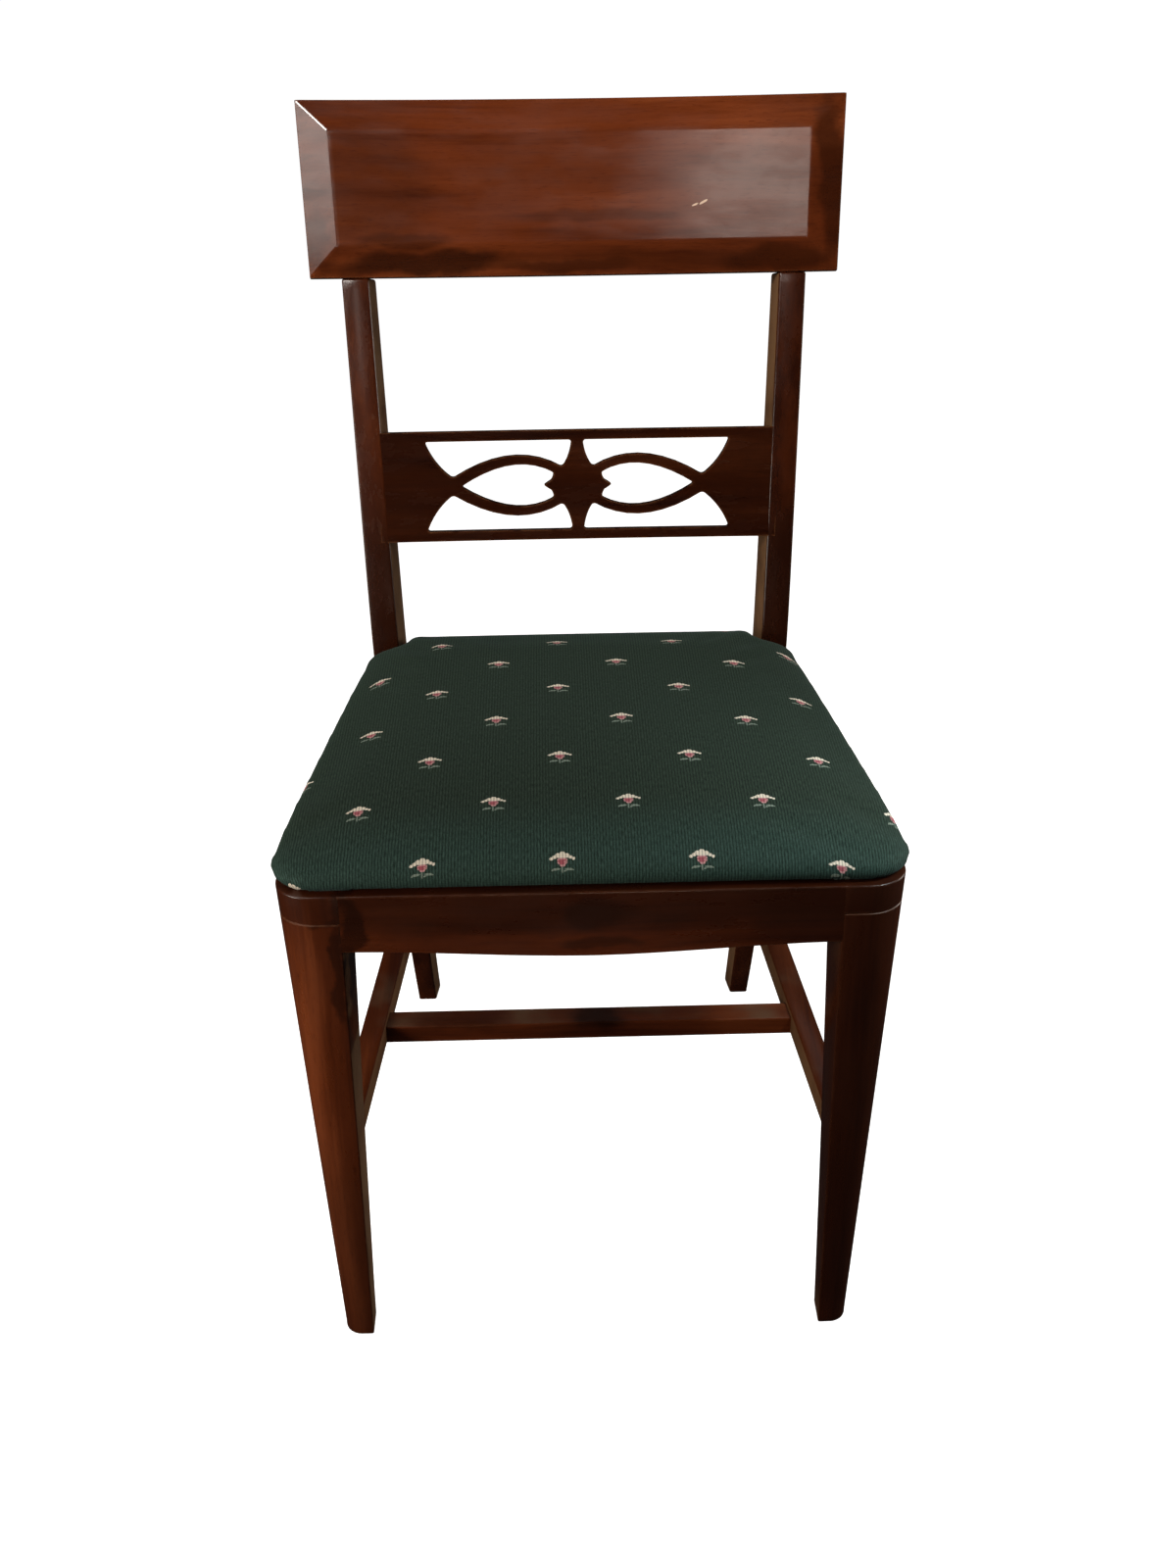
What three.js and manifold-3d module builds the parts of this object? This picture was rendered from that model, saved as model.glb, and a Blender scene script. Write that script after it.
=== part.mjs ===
// A mahogany dining chair: a tablet crest with a raised field, a pierced cross rail of two
// lens-shaped rings and a pointed star, tapered front legs, swept rear legs, an H of stretchers
// and an upholstered seat screwed down on the frame.
// Millimetres, +Z up. The chair faces -Y, and is modelled with the faces of its front legs at y = 0.

import * as THREE from "three";
import { mergeVertices } from "three/addons/utils/BufferGeometryUtils.js";
import Module from "manifold-3d";

const wasm = await Module();
wasm.setup();

// Fits
const fit = 0.3; // gap between pieces that touch
const overrun = 4; // how far a cut runs past the face that it opens
const weldDistance = 0.0005;

// Seat frame
const frameTop = 443;
const seatDepth = 370; // face of the front legs to face of the rear legs
const railHeight = 49;
const railThickness = 22;
const apronDrop = 7.5; // how far the front rail's lower edge dips at its middle
const railEase = 1.2;
const railTenonThickness = 9;
const railTenonShoulder = 7; // rail above and below its tenon
const sideTenonLength = 20;
const sideTenonRearLength = 14;
const frontTenonLength = 22;
const rearTenonLength = 13;
const rearRailSetback = 11.5; // face of the rear legs to face of the rear rail
const rearRailThickness = 19;

// Front legs
const frontLegGap = 183; // middle of the chair to the inner face, at the top
const frontLegTopWidth = 54.2;
const frontLegTopDepth = 47;
const frontLegTopRadius = 36; // round corner of the seat frame
const frontLegFootInset = 5.6; // how far the inner face moves out at the foot
const frontLegFootWidth = 26.5;
const frontLegFootDepth = 25;
const frontLegFootRadius = 15;
const frontLegDrawIn = 4.7; // how far the inner face draws in from front to back, at the top
const frontLegArris = 2.2;
const scribeDrop = 24; // frame top to the scribed line
const scribeDepth = 0.8;
const footEase = 1.5;

// Rear legs, each one piece with its post
const rearLegHalf = 187; // middle of the chair to the outer face, at the frame's top
const rearLegWidth = 24;
const rearLegFootWidth = 19;
const rearLegDepth = 33.5;
const rearLegFootDepth = 25;
const rearLegTuck = 9; // how far the foot stands in from the frame
const rearLegSweep = 98; // how far the foot stands back
const rearLegEase = 2;
const postHeight = 332; // frame top to the crest
const postTopWidth = 23.5;
const postTopDepth = 22;
const postSplay = 12.6; // how far the post's top stands out from the frame
const postLean = 87.5;
const postBow = 6;
const postBend = 35; // radius of the bend at the seat
const sweepPower = 1.8;

// Crest rail
const crestHeight = 143;
const crestTopHalf = 231;
const crestBottomHalf = 225.5;
const crestThickness = 25;
const crestBevelWidth = 26;
const crestBevelDrop = 8;
const crestProud = 7.5; // field in front of the posts' faces
const crestHollow = 12; // depth of its curve in plan
const crestEase = 1.2;
const crestTenonLength = 22;
const crestTenonWidth = 14;
const crestTenonThickness = 8;
const crestTenonSetback = 5;

// Cross rail
const crossRailDrop = 217; // top of the posts down to its lower edge
const crossRailHeight = 95.5;
const crossRailThickness = 14;
const crossRailSetback = 2;
const crossRailHollow = 5;
const crossTenonLength = 9;
const crossTenonThickness = 7;
const crossTenonShoulder = 14;
const openingRadius = 2.6;

// The openings' corners and the pull of each side, as shares of the clear half width and height
const cornerOpeningShares = {
  corners: [[0.79, 0.82], [0.03, 0.82], [0.08, 0.33], [0.65, 0.155]],
  pulls: [[0.4, 0.82], [0.038, 0.52], [0.33, 0.85], [0.745, 0.4]],
};
const lensOpeningShares = {
  corners: [[0.606, 0], [0.128, 0.235], [0.14, 0.085], [0.176, 0], [0.14, -0.085], [0.128, -0.235]],
  pulls: [[0.33, 0.62], [0.124, 0.16], [0.16, 0.045], [0.16, -0.045], [0.124, -0.16], [0.33, -0.62]],
};

// Stretchers
const stretcherTop = 190;
const stretcherHeight = 22;
const stretcherWidth = 20;
const stretcherEase = 1;
const stretcherFrontX = 202.5;
const stretcherRearX = 171;
const stretcherTenonLength = 11;
const stretcherTenonWidth = 9;
const stretcherTenonShoulder = 4;
const medialFront = 181; // face of the front legs to face of the middle stretcher
const medialDepth = 23;
const medialHeight = 17.5;
const medialTenonLength = 8;
const medialTenonShoulder = 4.5;

// Corner blocks and their screws
const blockReach = 56; // along each rail, from the leg
const blockNotch = 4; // clear of the leg
const blockTopSetback = 2;
const blockHeight = 36;
const screwRadius = 2;
const screwHeadRadius = 4;
const screwHeadHeight = 2.6;
const screwTip = 5;
const screwGrip = 13; // block under the screw's head
const screwBite = 12; // thread in the rail
const seatScrewBite = 10.5; // thread in the board
const counterboreRadius = 5;
const railScrewDistance = 30; // leg to the screw, along the rail
const seatScrewInset = 52; // seat frame's outer faces to the screw
const seatScrewFrontInset = 16; // front leg's back to the screw
const seatScrewRearInset = 33; // rear rail's face to the screw

// Seat
const boardThickness = 12;
const boardInset = 7;
const coverThickness = 1.5;
const coverTurnIn = 20; // strip of cover turned in under the board
const cushionHeight = 40;
const cushionEdgeHeight = 18;
const cushionTuck = 3.2; // how far the sides draw in at the bottom
const cushionBellyShare = 0.66; // part of the edge height at which the sides are widest
const cushionTuckShare = 0.33; // part of the edge height and of the tuck at the turn below
const cushionOverhang = 3.5; // past the side rails
const cushionSideBow = 3; // how far each side swells out in plan
const cushionSetback = 2.5; // behind the front legs' faces
const cushionRearReach = 31.5; // between the posts, past their faces
const cushionPostGap = 2.2;
const cushionRearRadius = 13;
const crownPower = 4.4;

// Counts
const arcSteps = 8;
const legSteps = 5;
const sweepSteps = 7;
const postSteps = 7;
const railSteps = 16;
const crestSteps = 18;
const crossRailSteps = 14;
const openingSteps = 7;
const cornerSteps = 3;
const sideSteps = 4;
const screwSides = 12;

const railBottom = frameTop - railHeight;
const frontHalf = frontLegGap + frontLegTopWidth;
const sideSlope = (frontHalf - rearLegHalf) / seatDepth;
const sideAngle = Math.atan(sideSlope);
const postTop = frameTop + postHeight;
const crossRailBottom = postTop - crossRailDrop;

// Finishes
const mahogany = new THREE.MeshStandardMaterial({ color: 0x5a2616, roughness: 0.32, metalness: 0 });
const blockWood = new THREE.MeshStandardMaterial({ color: 0xa98458, roughness: 0.75, metalness: 0 });
const plywood = new THREE.MeshStandardMaterial({ color: 0xb89468, roughness: 0.8, metalness: 0 });
const foam = new THREE.MeshStandardMaterial({ color: 0xd9cfae, roughness: 0.95, metalness: 0 });
const fabric = new THREE.MeshStandardMaterial({ color: 0x21342e, roughness: 0.85, metalness: 0 });
const steel = new THREE.MeshStandardMaterial({ color: 0x8f8f8c, roughness: 0.4, metalness: 1 });

const lerp = THREE.MathUtils.lerp;
const point = (x, y, z) => new THREE.Vector3(x, y, z);

// A closed skin over rings of equal point counts. Each ring runs anticlockwise when seen from
// the next one, and strips between its facing points close the first and the last.
function loft(rings) {
  const count = rings[0].length;
  const indices = [];
  for (let level = 0; level < rings.length - 1; level++) {
    for (let i = 0; i < count; i++) {
      const here = level * count + i;
      const next = level * count + ((i + 1) % count);
      indices.push(here, next, next + count, here, next + count, here + count);
    }
  }
  const last = (rings.length - 1) * count;
  for (let i = 0; i < count / 2 - 1; i++) {
    const far = count - 1 - i;
    indices.push(i, far - 1, i + 1, i, far, far - 1);
    indices.push(last + i, last + i + 1, last + far - 1, last + i, last + far - 1, last + far);
  }
  const geometry = new THREE.BufferGeometry().setFromPoints(rings.flat());
  return geometry.setIndex(indices);
}

// A closed geometry as a solid that can be joined and cut.
function solidOf(geometry) {
  const bare = geometry.index ? geometry.toNonIndexed() : geometry.clone();
  bare.deleteAttribute("normal");
  bare.deleteAttribute("uv");
  const merged = mergeVertices(bare, weldDistance);
  return new wasm.Manifold(
    new wasm.Mesh({
      numProp: 3,
      vertProperties: merged.attributes.position.array,
      triVerts: new Uint32Array(merged.index.array),
    }),
  );
}

function geometryOf(solid) {
  const mesh = solid.getMesh();
  const indexed = new THREE.BufferGeometry();
  indexed.setAttribute("position", new THREE.BufferAttribute(mesh.vertProperties, 3));
  indexed.setIndex(new THREE.BufferAttribute(mesh.triVerts, 1));
  const geometry = indexed.toNonIndexed();
  geometry.computeVertexNormals();
  return geometry;
}

// One geometry joined to others and cut by others.
function carve(base, joined, cutters) {
  let solid = solidOf(base);
  for (const geometry of joined) solid = solid.add(solidOf(geometry));
  for (const geometry of cutters) solid = solid.subtract(solidOf(geometry));
  return geometryOf(solid);
}

// A geometry and its mirror image across the chair's middle, with the image's faces turned out.
function bothSides(geometry) {
  const bare = geometry.index ? geometry.toNonIndexed() : geometry;
  const positions = bare.getAttribute("position");
  const points = [];
  for (let i = 0; i < positions.count; i += 3) {
    for (const corner of [0, 2, 1]) {
      const place = new THREE.Vector3().fromBufferAttribute(positions, i + corner);
      points.push(place.setX(-place.x));
    }
  }
  return [geometry, new THREE.BufferGeometry().setFromPoints(points)];
}

// A rectangle with its corners taken off, anticlockwise, as pairs of coordinates.
function easedRectangle(left, right, bottom, top, ease) {
  return [
    [right - ease, bottom],
    [right, bottom + ease],
    [right, top - ease],
    [right - ease, top],
    [left + ease, top],
    [left, top - ease],
    [left, bottom + ease],
    [left + ease, bottom],
  ];
}

// Outer face of the side rails, and of the legs in line with them.
const sideLine = (y) => frontHalf - sideSlope * y;
const sideRailInner = (y) => sideLine(y) - railThickness;

// Front legs

function frontLegAt(z) {
  const share = z / frameTop;
  return {
    inner: frontLegGap + lerp(frontLegFootInset, 0, share),
    innerSlope: (share * frontLegDrawIn) / frontLegTopDepth,
    width: lerp(frontLegFootWidth, frontLegTopWidth, share),
    depth: lerp(frontLegFootDepth, frontLegTopDepth, share),
    radius: lerp(frontLegFootRadius, frontLegTopRadius, share),
  };
}

// Inner face of a front leg, which turns with the side rails towards the top.
function frontLegInner(y, z) {
  const leg = frontLegAt(z);
  return leg.inner - leg.innerSlope * y;
}

// The round front corner of an outline whose side runs back at the side rails' slope.
function frontCorner(outer, front, radius) {
  const middle = outer - sideSlope * radius - radius * Math.hypot(1, sideSlope);
  const points = [];
  for (let i = 0; i < arcSteps; i++) {
    const angle = lerp(-Math.PI / 2, sideAngle, i / (arcSteps - 1));
    points.push([middle + radius * Math.cos(angle), front + radius * (1 + Math.sin(angle))]);
  }
  return points;
}

// The leg's section at a height: shrink draws all four faces in, and cut only those that show.
function frontLegRing(z, shrink, cut) {
  const leg = frontLegAt(z);
  const innerAt = (y) => frontLegInner(y, z) + shrink;
  const front = shrink + cut;
  const back = leg.depth - shrink;
  const outer = leg.inner + leg.width - shrink - cut;
  const backOuter = outer - sideSlope * back;
  const plan = [
    [innerAt(front + frontLegArris), front + frontLegArris],
    [innerAt(front) + frontLegArris, front],
    ...frontCorner(outer - sideSlope * front, front, leg.radius - shrink),
    [backOuter + sideSlope * railEase, back - railEase],
    [backOuter - railEase, back],
    [innerAt(back) + railEase, back],
    [innerAt(back - railEase), back - railEase],
  ];
  return plan.map(([x, y]) => point(x, y, z));
}

function frontLegBlank() {
  const scribe = frameTop - scribeDrop;
  const rings = [frontLegRing(0, footEase, 0)];
  for (let i = 0; i <= legSteps; i++) {
    rings.push(frontLegRing(lerp(footEase, scribe - scribeDepth, i / legSteps), 0, 0));
  }
  return loft([
    ...rings,
    frontLegRing(scribe, 0, scribeDepth),
    frontLegRing(scribe + scribeDepth, 0, 0),
    frontLegRing(frameTop - railEase, 0, 0),
    frontLegRing(frameTop, railEase, 0),
  ]);
}

// Rear legs

function rearLegFront(z) {
  if (z > frameTop) {
    const rise = z - frameTop;
    const lean = (postLean * (Math.hypot(rise, postBend) - postBend)) / postHeight;
    return seatDepth + lean + postBow * (rise / postHeight) ** 2;
  }
  const drop = Math.max(0, railBottom - z) / railBottom;
  return seatDepth + rearLegSweep * drop ** sweepPower;
}

// How far the leg's face runs back for each unit that it rises.
function leanAt(z) {
  const rise = z - frameTop;
  const bend = (postLean * rise) / (postHeight * Math.hypot(rise, postBend));
  return bend + (2 * postBow * rise) / postHeight ** 2;
}

function rearLegOuter(z) {
  if (z > frameTop) return rearLegHalf + (postSplay * (z - frameTop)) / postHeight;
  return rearLegHalf - (rearLegTuck * (frameTop - z)) / frameTop;
}

function rearLegWidthAt(z) {
  if (z > frameTop) return lerp(rearLegWidth, postTopWidth, (z - frameTop) / postHeight);
  return lerp(rearLegFootWidth, rearLegWidth, z / frameTop);
}

function rearLegDepthAt(z) {
  if (z > frameTop) return lerp(rearLegDepth, postTopDepth, (z - frameTop) / postHeight);
  return lerp(rearLegFootDepth, rearLegDepth, z / frameTop);
}

// Inner face of a rear leg, which turns in towards the back with the side rails.
const rearLegInner = (y, z) =>
  rearLegOuter(z) - rearLegWidthAt(z) - sideSlope * (y - rearLegFront(z));

function rearLegRing(z, shrink) {
  const front = rearLegFront(z);
  const outer = rearLegOuter(z);
  const tilt = z > frameTop ? leanAt(z) : 0;
  const plan = easedRectangle(
    outer - rearLegWidthAt(z) + shrink,
    outer - shrink,
    front + shrink,
    front + rearLegDepthAt(z) - shrink,
    rearLegEase,
  );
  return plan.map(([x, y]) => point(x - sideSlope * (y - front), y, z - tilt * (y - front)));
}

function rearLegBlank() {
  const rings = [rearLegRing(0, footEase)];
  for (let i = 0; i <= sweepSteps; i++) {
    rings.push(rearLegRing(lerp(footEase, railBottom, i / sweepSteps), 0));
  }
  for (let i = 0; i <= postSteps; i++) {
    rings.push(rearLegRing(lerp(frameTop, postTop, i / postSteps), 0));
  }
  return loft(rings);
}

// The frame of a board that lies on the posts' faces: X across, Y up the lean, Z to the front.
function leaningFrame(z, lift) {
  const angle = Math.atan(leanAt(z + lift));
  const up = point(0, Math.sin(angle), Math.cos(angle));
  const forward = point(0, -Math.cos(angle), Math.sin(angle));
  const frame = new THREE.Matrix4().makeBasis(point(1, 0, 0), up, forward);
  return frame.setPosition(0, rearLegFront(z), z);
}

// Bars

// A bar that runs back between two faces, given as y for each height, along a line in plan.
function barBack(startAt, endAt, centreAt, width, bottom, top, ease) {
  const outline = easedRectangle(bottom, top, -width / 2, width / 2, ease);
  const ringAt = (faceAt) =>
    outline.map(([z, side]) => point(centreAt(faceAt(z)) + side, faceAt(z), z));
  return loft([ringAt(startAt), ringAt(endAt)]);
}

// A bar that runs across the chair between two mirrored faces, given as x for each y and z.
function barAcross(endAt, front, back, bottomAt, top, ease, steps) {
  const rings = [];
  for (let i = 0; i <= steps; i++) {
    const share = (2 * i) / steps - 1;
    const outline = easedRectangle(front, back, bottomAt(share), top, ease);
    rings.push(outline.map(([y, z]) => point(endAt(y, z) * share, y, z)));
  }
  return loft(rings);
}

// Seat rails

const sideRailCentre = (y) => sideLine(y) - railThickness / 2;

function sideRailTenons(grow) {
  return barBack(
    (z) => frontLegAt(z).depth - sideTenonLength - grow,
    () => seatDepth + sideTenonRearLength + grow,
    sideRailCentre,
    railTenonThickness + 2 * grow,
    railBottom + railTenonShoulder - grow,
    frameTop - railTenonShoulder + grow,
    0,
  );
}

function sideRail() {
  return barBack(
    (z) => frontLegAt(z).depth + fit,
    () => seatDepth - fit,
    sideRailCentre,
    railThickness,
    railBottom,
    frameTop,
    railEase,
  );
}

function frontRailTenons(grow) {
  const front = (railThickness - railTenonThickness) / 2;
  return barAcross(
    (y, z) => frontLegInner(y, z) + frontTenonLength + grow,
    front - grow,
    front + railTenonThickness + grow,
    () => railBottom + railTenonShoulder - grow,
    frameTop - railTenonShoulder + grow,
    0,
    1,
  );
}

// The lower edge dips in one slow wave, level again where it meets the legs.
const apronBottom = (share) => railBottom - (apronDrop * (1 + Math.cos(Math.PI * share))) / 2;

function frontRail() {
  const endAt = (y, z) => frontLegInner(y, z) - fit;
  return barAcross(endAt, 0, railThickness, apronBottom, frameTop, railEase, railSteps);
}

function rearRailTenons(grow) {
  const front = seatDepth + rearRailSetback + (rearRailThickness - railTenonThickness) / 2;
  return barAcross(
    (y, z) => rearLegInner(y, z) + rearTenonLength + grow,
    front - grow,
    front + railTenonThickness + grow,
    () => railBottom + railTenonShoulder - grow,
    frameTop - railTenonShoulder + grow,
    0,
    1,
  );
}

function rearRail() {
  const front = seatDepth + rearRailSetback;
  const endAt = (y, z) => rearLegInner(y, z) - fit;
  const bottomAt = () => railBottom;
  return barAcross(endAt, front, front + rearRailThickness, bottomAt, frameTop, railEase, 1);
}

// Stretchers

const stretcherBottom = stretcherTop - stretcherHeight;
const stretcherFrontY = frontLegAt(stretcherTop).depth;
const stretcherRearY = rearLegFront(stretcherTop);
const stretcherCentre = (y) => {
  const share = (y - stretcherFrontY) / (stretcherRearY - stretcherFrontY);
  return lerp(stretcherFrontX, stretcherRearX, share);
};

function sideStretcherTenons(grow) {
  return barBack(
    (z) => frontLegAt(z).depth - stretcherTenonLength - grow,
    (z) => rearLegFront(z) + stretcherTenonLength + grow,
    stretcherCentre,
    stretcherTenonWidth + 2 * grow,
    stretcherBottom + stretcherTenonShoulder - grow,
    stretcherTop - stretcherTenonShoulder + grow,
    0,
  );
}

function sideStretcher() {
  return barBack(
    (z) => frontLegAt(z).depth + fit,
    (z) => rearLegFront(z) - fit,
    stretcherCentre,
    stretcherWidth,
    stretcherBottom,
    stretcherTop,
    stretcherEase,
  );
}

const stretcherInner = (y) => stretcherCentre(y) - stretcherWidth / 2;

function medialTenons(grow) {
  const front = medialFront + medialTenonShoulder;
  return barAcross(
    (y) => stretcherInner(y) + medialTenonLength + grow,
    front - grow,
    medialFront + medialDepth - medialTenonShoulder + grow,
    () => stretcherBottom + medialTenonShoulder - grow,
    stretcherBottom + medialHeight - medialTenonShoulder + grow,
    0,
    1,
  );
}

function medialStretcher() {
  const endAt = (y) => stretcherInner(y) - fit;
  const top = stretcherBottom + medialHeight;
  const back = medialFront + medialDepth;
  return barAcross(endAt, medialFront, back, () => stretcherBottom, top, stretcherEase, 1);
}

// Crest rail, in its leaning frame

const crestFrame = leaningFrame(postTop, 0);
const postTopX = rearLegOuter(postTop) - postTopWidth / 2;

// How far the crest's curve stands in front of its place at the posts.
const crestCurve = (x) => (crestHollow * (x ** 2 - postTopX ** 2)) / crestTopHalf ** 2;

function crestRing(inset, depth) {
  const low = [];
  const high = [];
  for (let i = 0; i <= crestSteps; i++) {
    const share = (2 * i) / crestSteps - 1;
    const lowX = (crestBottomHalf - inset) * share;
    const highX = (crestTopHalf - inset) * share;
    low.push(point(lowX, inset, depth + crestCurve(lowX)));
    high.push(point(highX, crestHeight - inset, depth + crestCurve(highX)));
  }
  return [...low, ...high.reverse()];
}

function crestBlank() {
  const back = crestProud - crestThickness;
  const edge = crestProud - crestBevelDrop;
  const blank = loft([
    crestRing(crestEase, back),
    crestRing(0, back + crestEase),
    crestRing(0, edge - crestEase),
    crestRing(crestEase, edge),
    crestRing(crestBevelWidth, crestProud),
  ]);
  return blank.applyMatrix4(new THREE.Matrix4().makeTranslation(0, fit, 0)).applyMatrix4(crestFrame);
}

// The tenon on top of a post.
function crestTenon(grow) {
  const geometry = new THREE.BoxGeometry(
    crestTenonWidth + 2 * grow,
    crestTenonLength + overrun + grow,
    crestTenonThickness + 2 * grow,
  );
  const upward = (crestTenonLength - overrun + grow) / 2;
  const forward = -crestTenonSetback - crestTenonThickness / 2;
  return geometry.translate(postTopX, upward, forward).applyMatrix4(crestFrame);
}

// Cross rail, in its leaning frame

const crossRailMiddle = crossRailBottom + crossRailHeight / 2;
const crossRailFrame = leaningFrame(crossRailBottom, crossRailHeight / 2);
const crossRailHalf = rearLegInner(rearLegFront(crossRailMiddle), crossRailMiddle);

// The inner face of a post where a point of the cross rail's frame meets it.
function crossRailEnd(up, forward) {
  const place = point(0, up, forward).applyMatrix4(crossRailFrame);
  return rearLegInner(place.y, place.z);
}

// A curved bar across the posts, between two heights and two depths behind their faces.
function crossBar(low, high, front, back, reach) {
  const rings = [];
  for (let i = 0; i <= crossRailSteps; i++) {
    const share = (2 * i) / crossRailSteps - 1;
    const curve = crossRailHollow * (1 - share ** 2);
    const corners = [
      [low, -back],
      [high, -back],
      [high, -front],
      [low, -front],
    ];
    rings.push(
      corners.map(([up, forward]) => {
        const half = crossRailEnd(up, forward) + reach;
        return point(half * share, up, forward - curve);
      }),
    );
  }
  return loft(rings).applyMatrix4(crossRailFrame);
}

function crossTenons(grow) {
  const front = crossRailSetback + (crossRailThickness - crossTenonThickness) / 2;
  return crossBar(
    crossTenonShoulder - grow,
    crossRailHeight - crossTenonShoulder + grow,
    front - grow,
    front + crossTenonThickness + grow,
    crossTenonLength + grow,
  );
}

// An opening's outline: its corners joined by bowed sides, and each corner rounded.
function openingOutline({ corners, pulls }, turnX, turnY) {
  const placed = ([across, up]) =>
    new THREE.Vector2(across * turnX * crossRailHalf, (1 + up * turnY) * (crossRailHeight / 2));
  const sides = corners.map((corner, i) => {
    const next = corners[(i + 1) % corners.length];
    return new THREE.QuadraticBezierCurve(placed(corner), placed(pulls[i]), placed(next));
  });
  const points = [];
  sides.forEach((side, i) => {
    const next = sides[(i + 1) % sides.length];
    const trim = openingRadius / side.getLength();
    for (let step = 0; step <= openingSteps; step++) {
      points.push(side.getPointAt(lerp(trim, 1 - trim, step / openingSteps)));
    }
    const start = points.at(-1);
    const end = next.getPointAt(openingRadius / next.getLength());
    const round = new THREE.QuadraticBezierCurve(start, side.v2, end);
    points.push(...round.getPoints(cornerSteps).slice(1, -1));
  });
  return new THREE.Shape(points);
}

function opening(shares, turnX, turnY) {
  const depth = crossRailThickness + crossRailHollow + 2 * overrun;
  const geometry = new THREE.ExtrudeGeometry(openingOutline(shares, turnX, turnY), {
    depth,
    bevelEnabled: false,
  });
  const back = crossRailSetback + crossRailThickness + crossRailHollow + overrun;
  return geometry.translate(0, 0, -back).applyMatrix4(crossRailFrame);
}

function crossRail() {
  const back = crossRailSetback + crossRailThickness;
  const blank = crossBar(0, crossRailHeight, crossRailSetback, back, -fit);
  const openings = [];
  for (const turnX of [1, -1]) {
    openings.push(opening(lensOpeningShares, turnX, 1));
    for (const turnY of [1, -1]) openings.push(opening(cornerOpeningShares, turnX, turnY));
  }
  return carve(blank, [crossTenons(0)], openings);
}

// Screws

// A countersunk screw from its tip to its head, along +Y. A grown one is its hole.
function screw(length, grow) {
  const profile = [
    [0, -grow],
    [screwRadius + grow, screwTip],
    [screwRadius + grow, length - screwHeadHeight],
    [screwHeadRadius + grow, length + grow],
    [0, length + grow],
  ];
  const points = profile.map(([radius, along]) => new THREE.Vector2(radius, along));
  return new THREE.LatheGeometry(points, screwSides);
}

function counterbore(length) {
  const bore = new THREE.CylinderGeometry(
    counterboreRadius,
    counterboreRadius,
    blockReach,
    screwSides,
  );
  return bore.translate(0, length + blockReach / 2, 0);
}

// Turns a screw's +Y to a direction and puts its tip at a place.
function aim(geometry, tip, direction) {
  const turn = new THREE.Quaternion().setFromUnitVectors(point(0, 1, 0), direction);
  return geometry.applyQuaternion(turn).translate(tip.x, tip.y, tip.z);
}

const blockTop = frameTop - blockTopSetback;
const blockBottom = blockTop - blockHeight;
const blockMiddle = (blockTop + blockBottom) / 2;
const boardBottom = frameTop + coverThickness + 2 * fit;
const railScrewLength = screwGrip + screwBite;
const seatScrewTip = boardBottom + seatScrewBite;
const seatScrewLength = seatScrewTip - blockBottom;

// The three screws of each right-hand block: into the cross rail, into the side rail, up into the seat.
const rearRailFront = seatDepth + rearRailSetback;
const frontInnerX = frontLegInner(frontLegTopDepth, frameTop);
const frontScrewX = frontInnerX - railScrewDistance;
const frontScrewY = frontLegTopDepth + railScrewDistance;
const rearInnerX = rearLegInner(rearRailFront, blockMiddle);
const rearScrewX = rearInnerX - railScrewDistance;
const rearScrewY = seatDepth - railScrewDistance;
const seatScrewFrontY = frontLegTopDepth + seatScrewFrontInset;
const seatScrewRearY = rearRailFront - seatScrewRearInset;
const screwPlaces = {
  front: {
    cross: [point(frontScrewX, railThickness - screwBite, blockMiddle), point(0, 1, 0)],
    side: [point(sideRailInner(frontScrewY) + screwBite, frontScrewY, blockMiddle), point(-1, 0, 0)],
    seat: [
      point(sideLine(seatScrewFrontY) - seatScrewInset, seatScrewFrontY, seatScrewTip),
      point(0, 0, -1),
    ],
  },
  rear: {
    cross: [point(rearScrewX, rearRailFront + screwBite, blockMiddle), point(0, -1, 0)],
    side: [point(sideRailInner(rearScrewY) + screwBite, rearScrewY, blockMiddle), point(-1, 0, 0)],
    seat: [
      point(sideLine(seatScrewRearY) - seatScrewInset, seatScrewRearY, seatScrewTip),
      point(0, 0, -1),
    ],
  },
};

function placedScrew(corner, use, grow) {
  const length = use === "seat" ? seatScrewLength : railScrewLength;
  const [tip, direction] = screwPlaces[corner][use];
  return aim(screw(length, grow), tip, direction);
}

function placedCounterbore(corner, use) {
  const [tip, direction] = screwPlaces[corner][use];
  return aim(counterbore(railScrewLength), tip, direction);
}

// Corner blocks, each cut to clear its leg

const blockPlans = {
  front: [
    [frontInnerX - blockReach, railThickness + fit],
    [frontInnerX - blockNotch, railThickness + fit],
    [frontInnerX - blockNotch, frontLegTopDepth + blockNotch],
    [sideRailInner(frontLegTopDepth + blockNotch) - fit, frontLegTopDepth + blockNotch],
    [sideRailInner(frontLegTopDepth + blockReach) - fit, frontLegTopDepth + blockReach],
  ],
  rear: [
    [rearInnerX - blockReach, rearRailFront - fit],
    [sideRailInner(seatDepth - blockReach) - fit, seatDepth - blockReach],
    [sideRailInner(seatDepth - blockNotch) - fit, seatDepth - blockNotch],
    [rearInnerX - blockNotch, seatDepth - blockNotch],
    [rearInnerX - blockNotch, rearRailFront - fit],
  ],
};

function cornerBlock(corner) {
  const shape = new THREE.Shape(blockPlans[corner].map(([x, y]) => new THREE.Vector2(x, y)));
  const blank = new THREE.ExtrudeGeometry(shape, { depth: blockHeight, bevelEnabled: false });
  blank.translate(0, 0, blockBottom);
  const holes = ["cross", "side", "seat"].map((use) => placedScrew(corner, use, fit));
  const counterbores = ["cross", "side"].map((use) => placedCounterbore(corner, use));
  return carve(blank, [], [...holes, ...counterbores]);
}

// Seat

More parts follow.
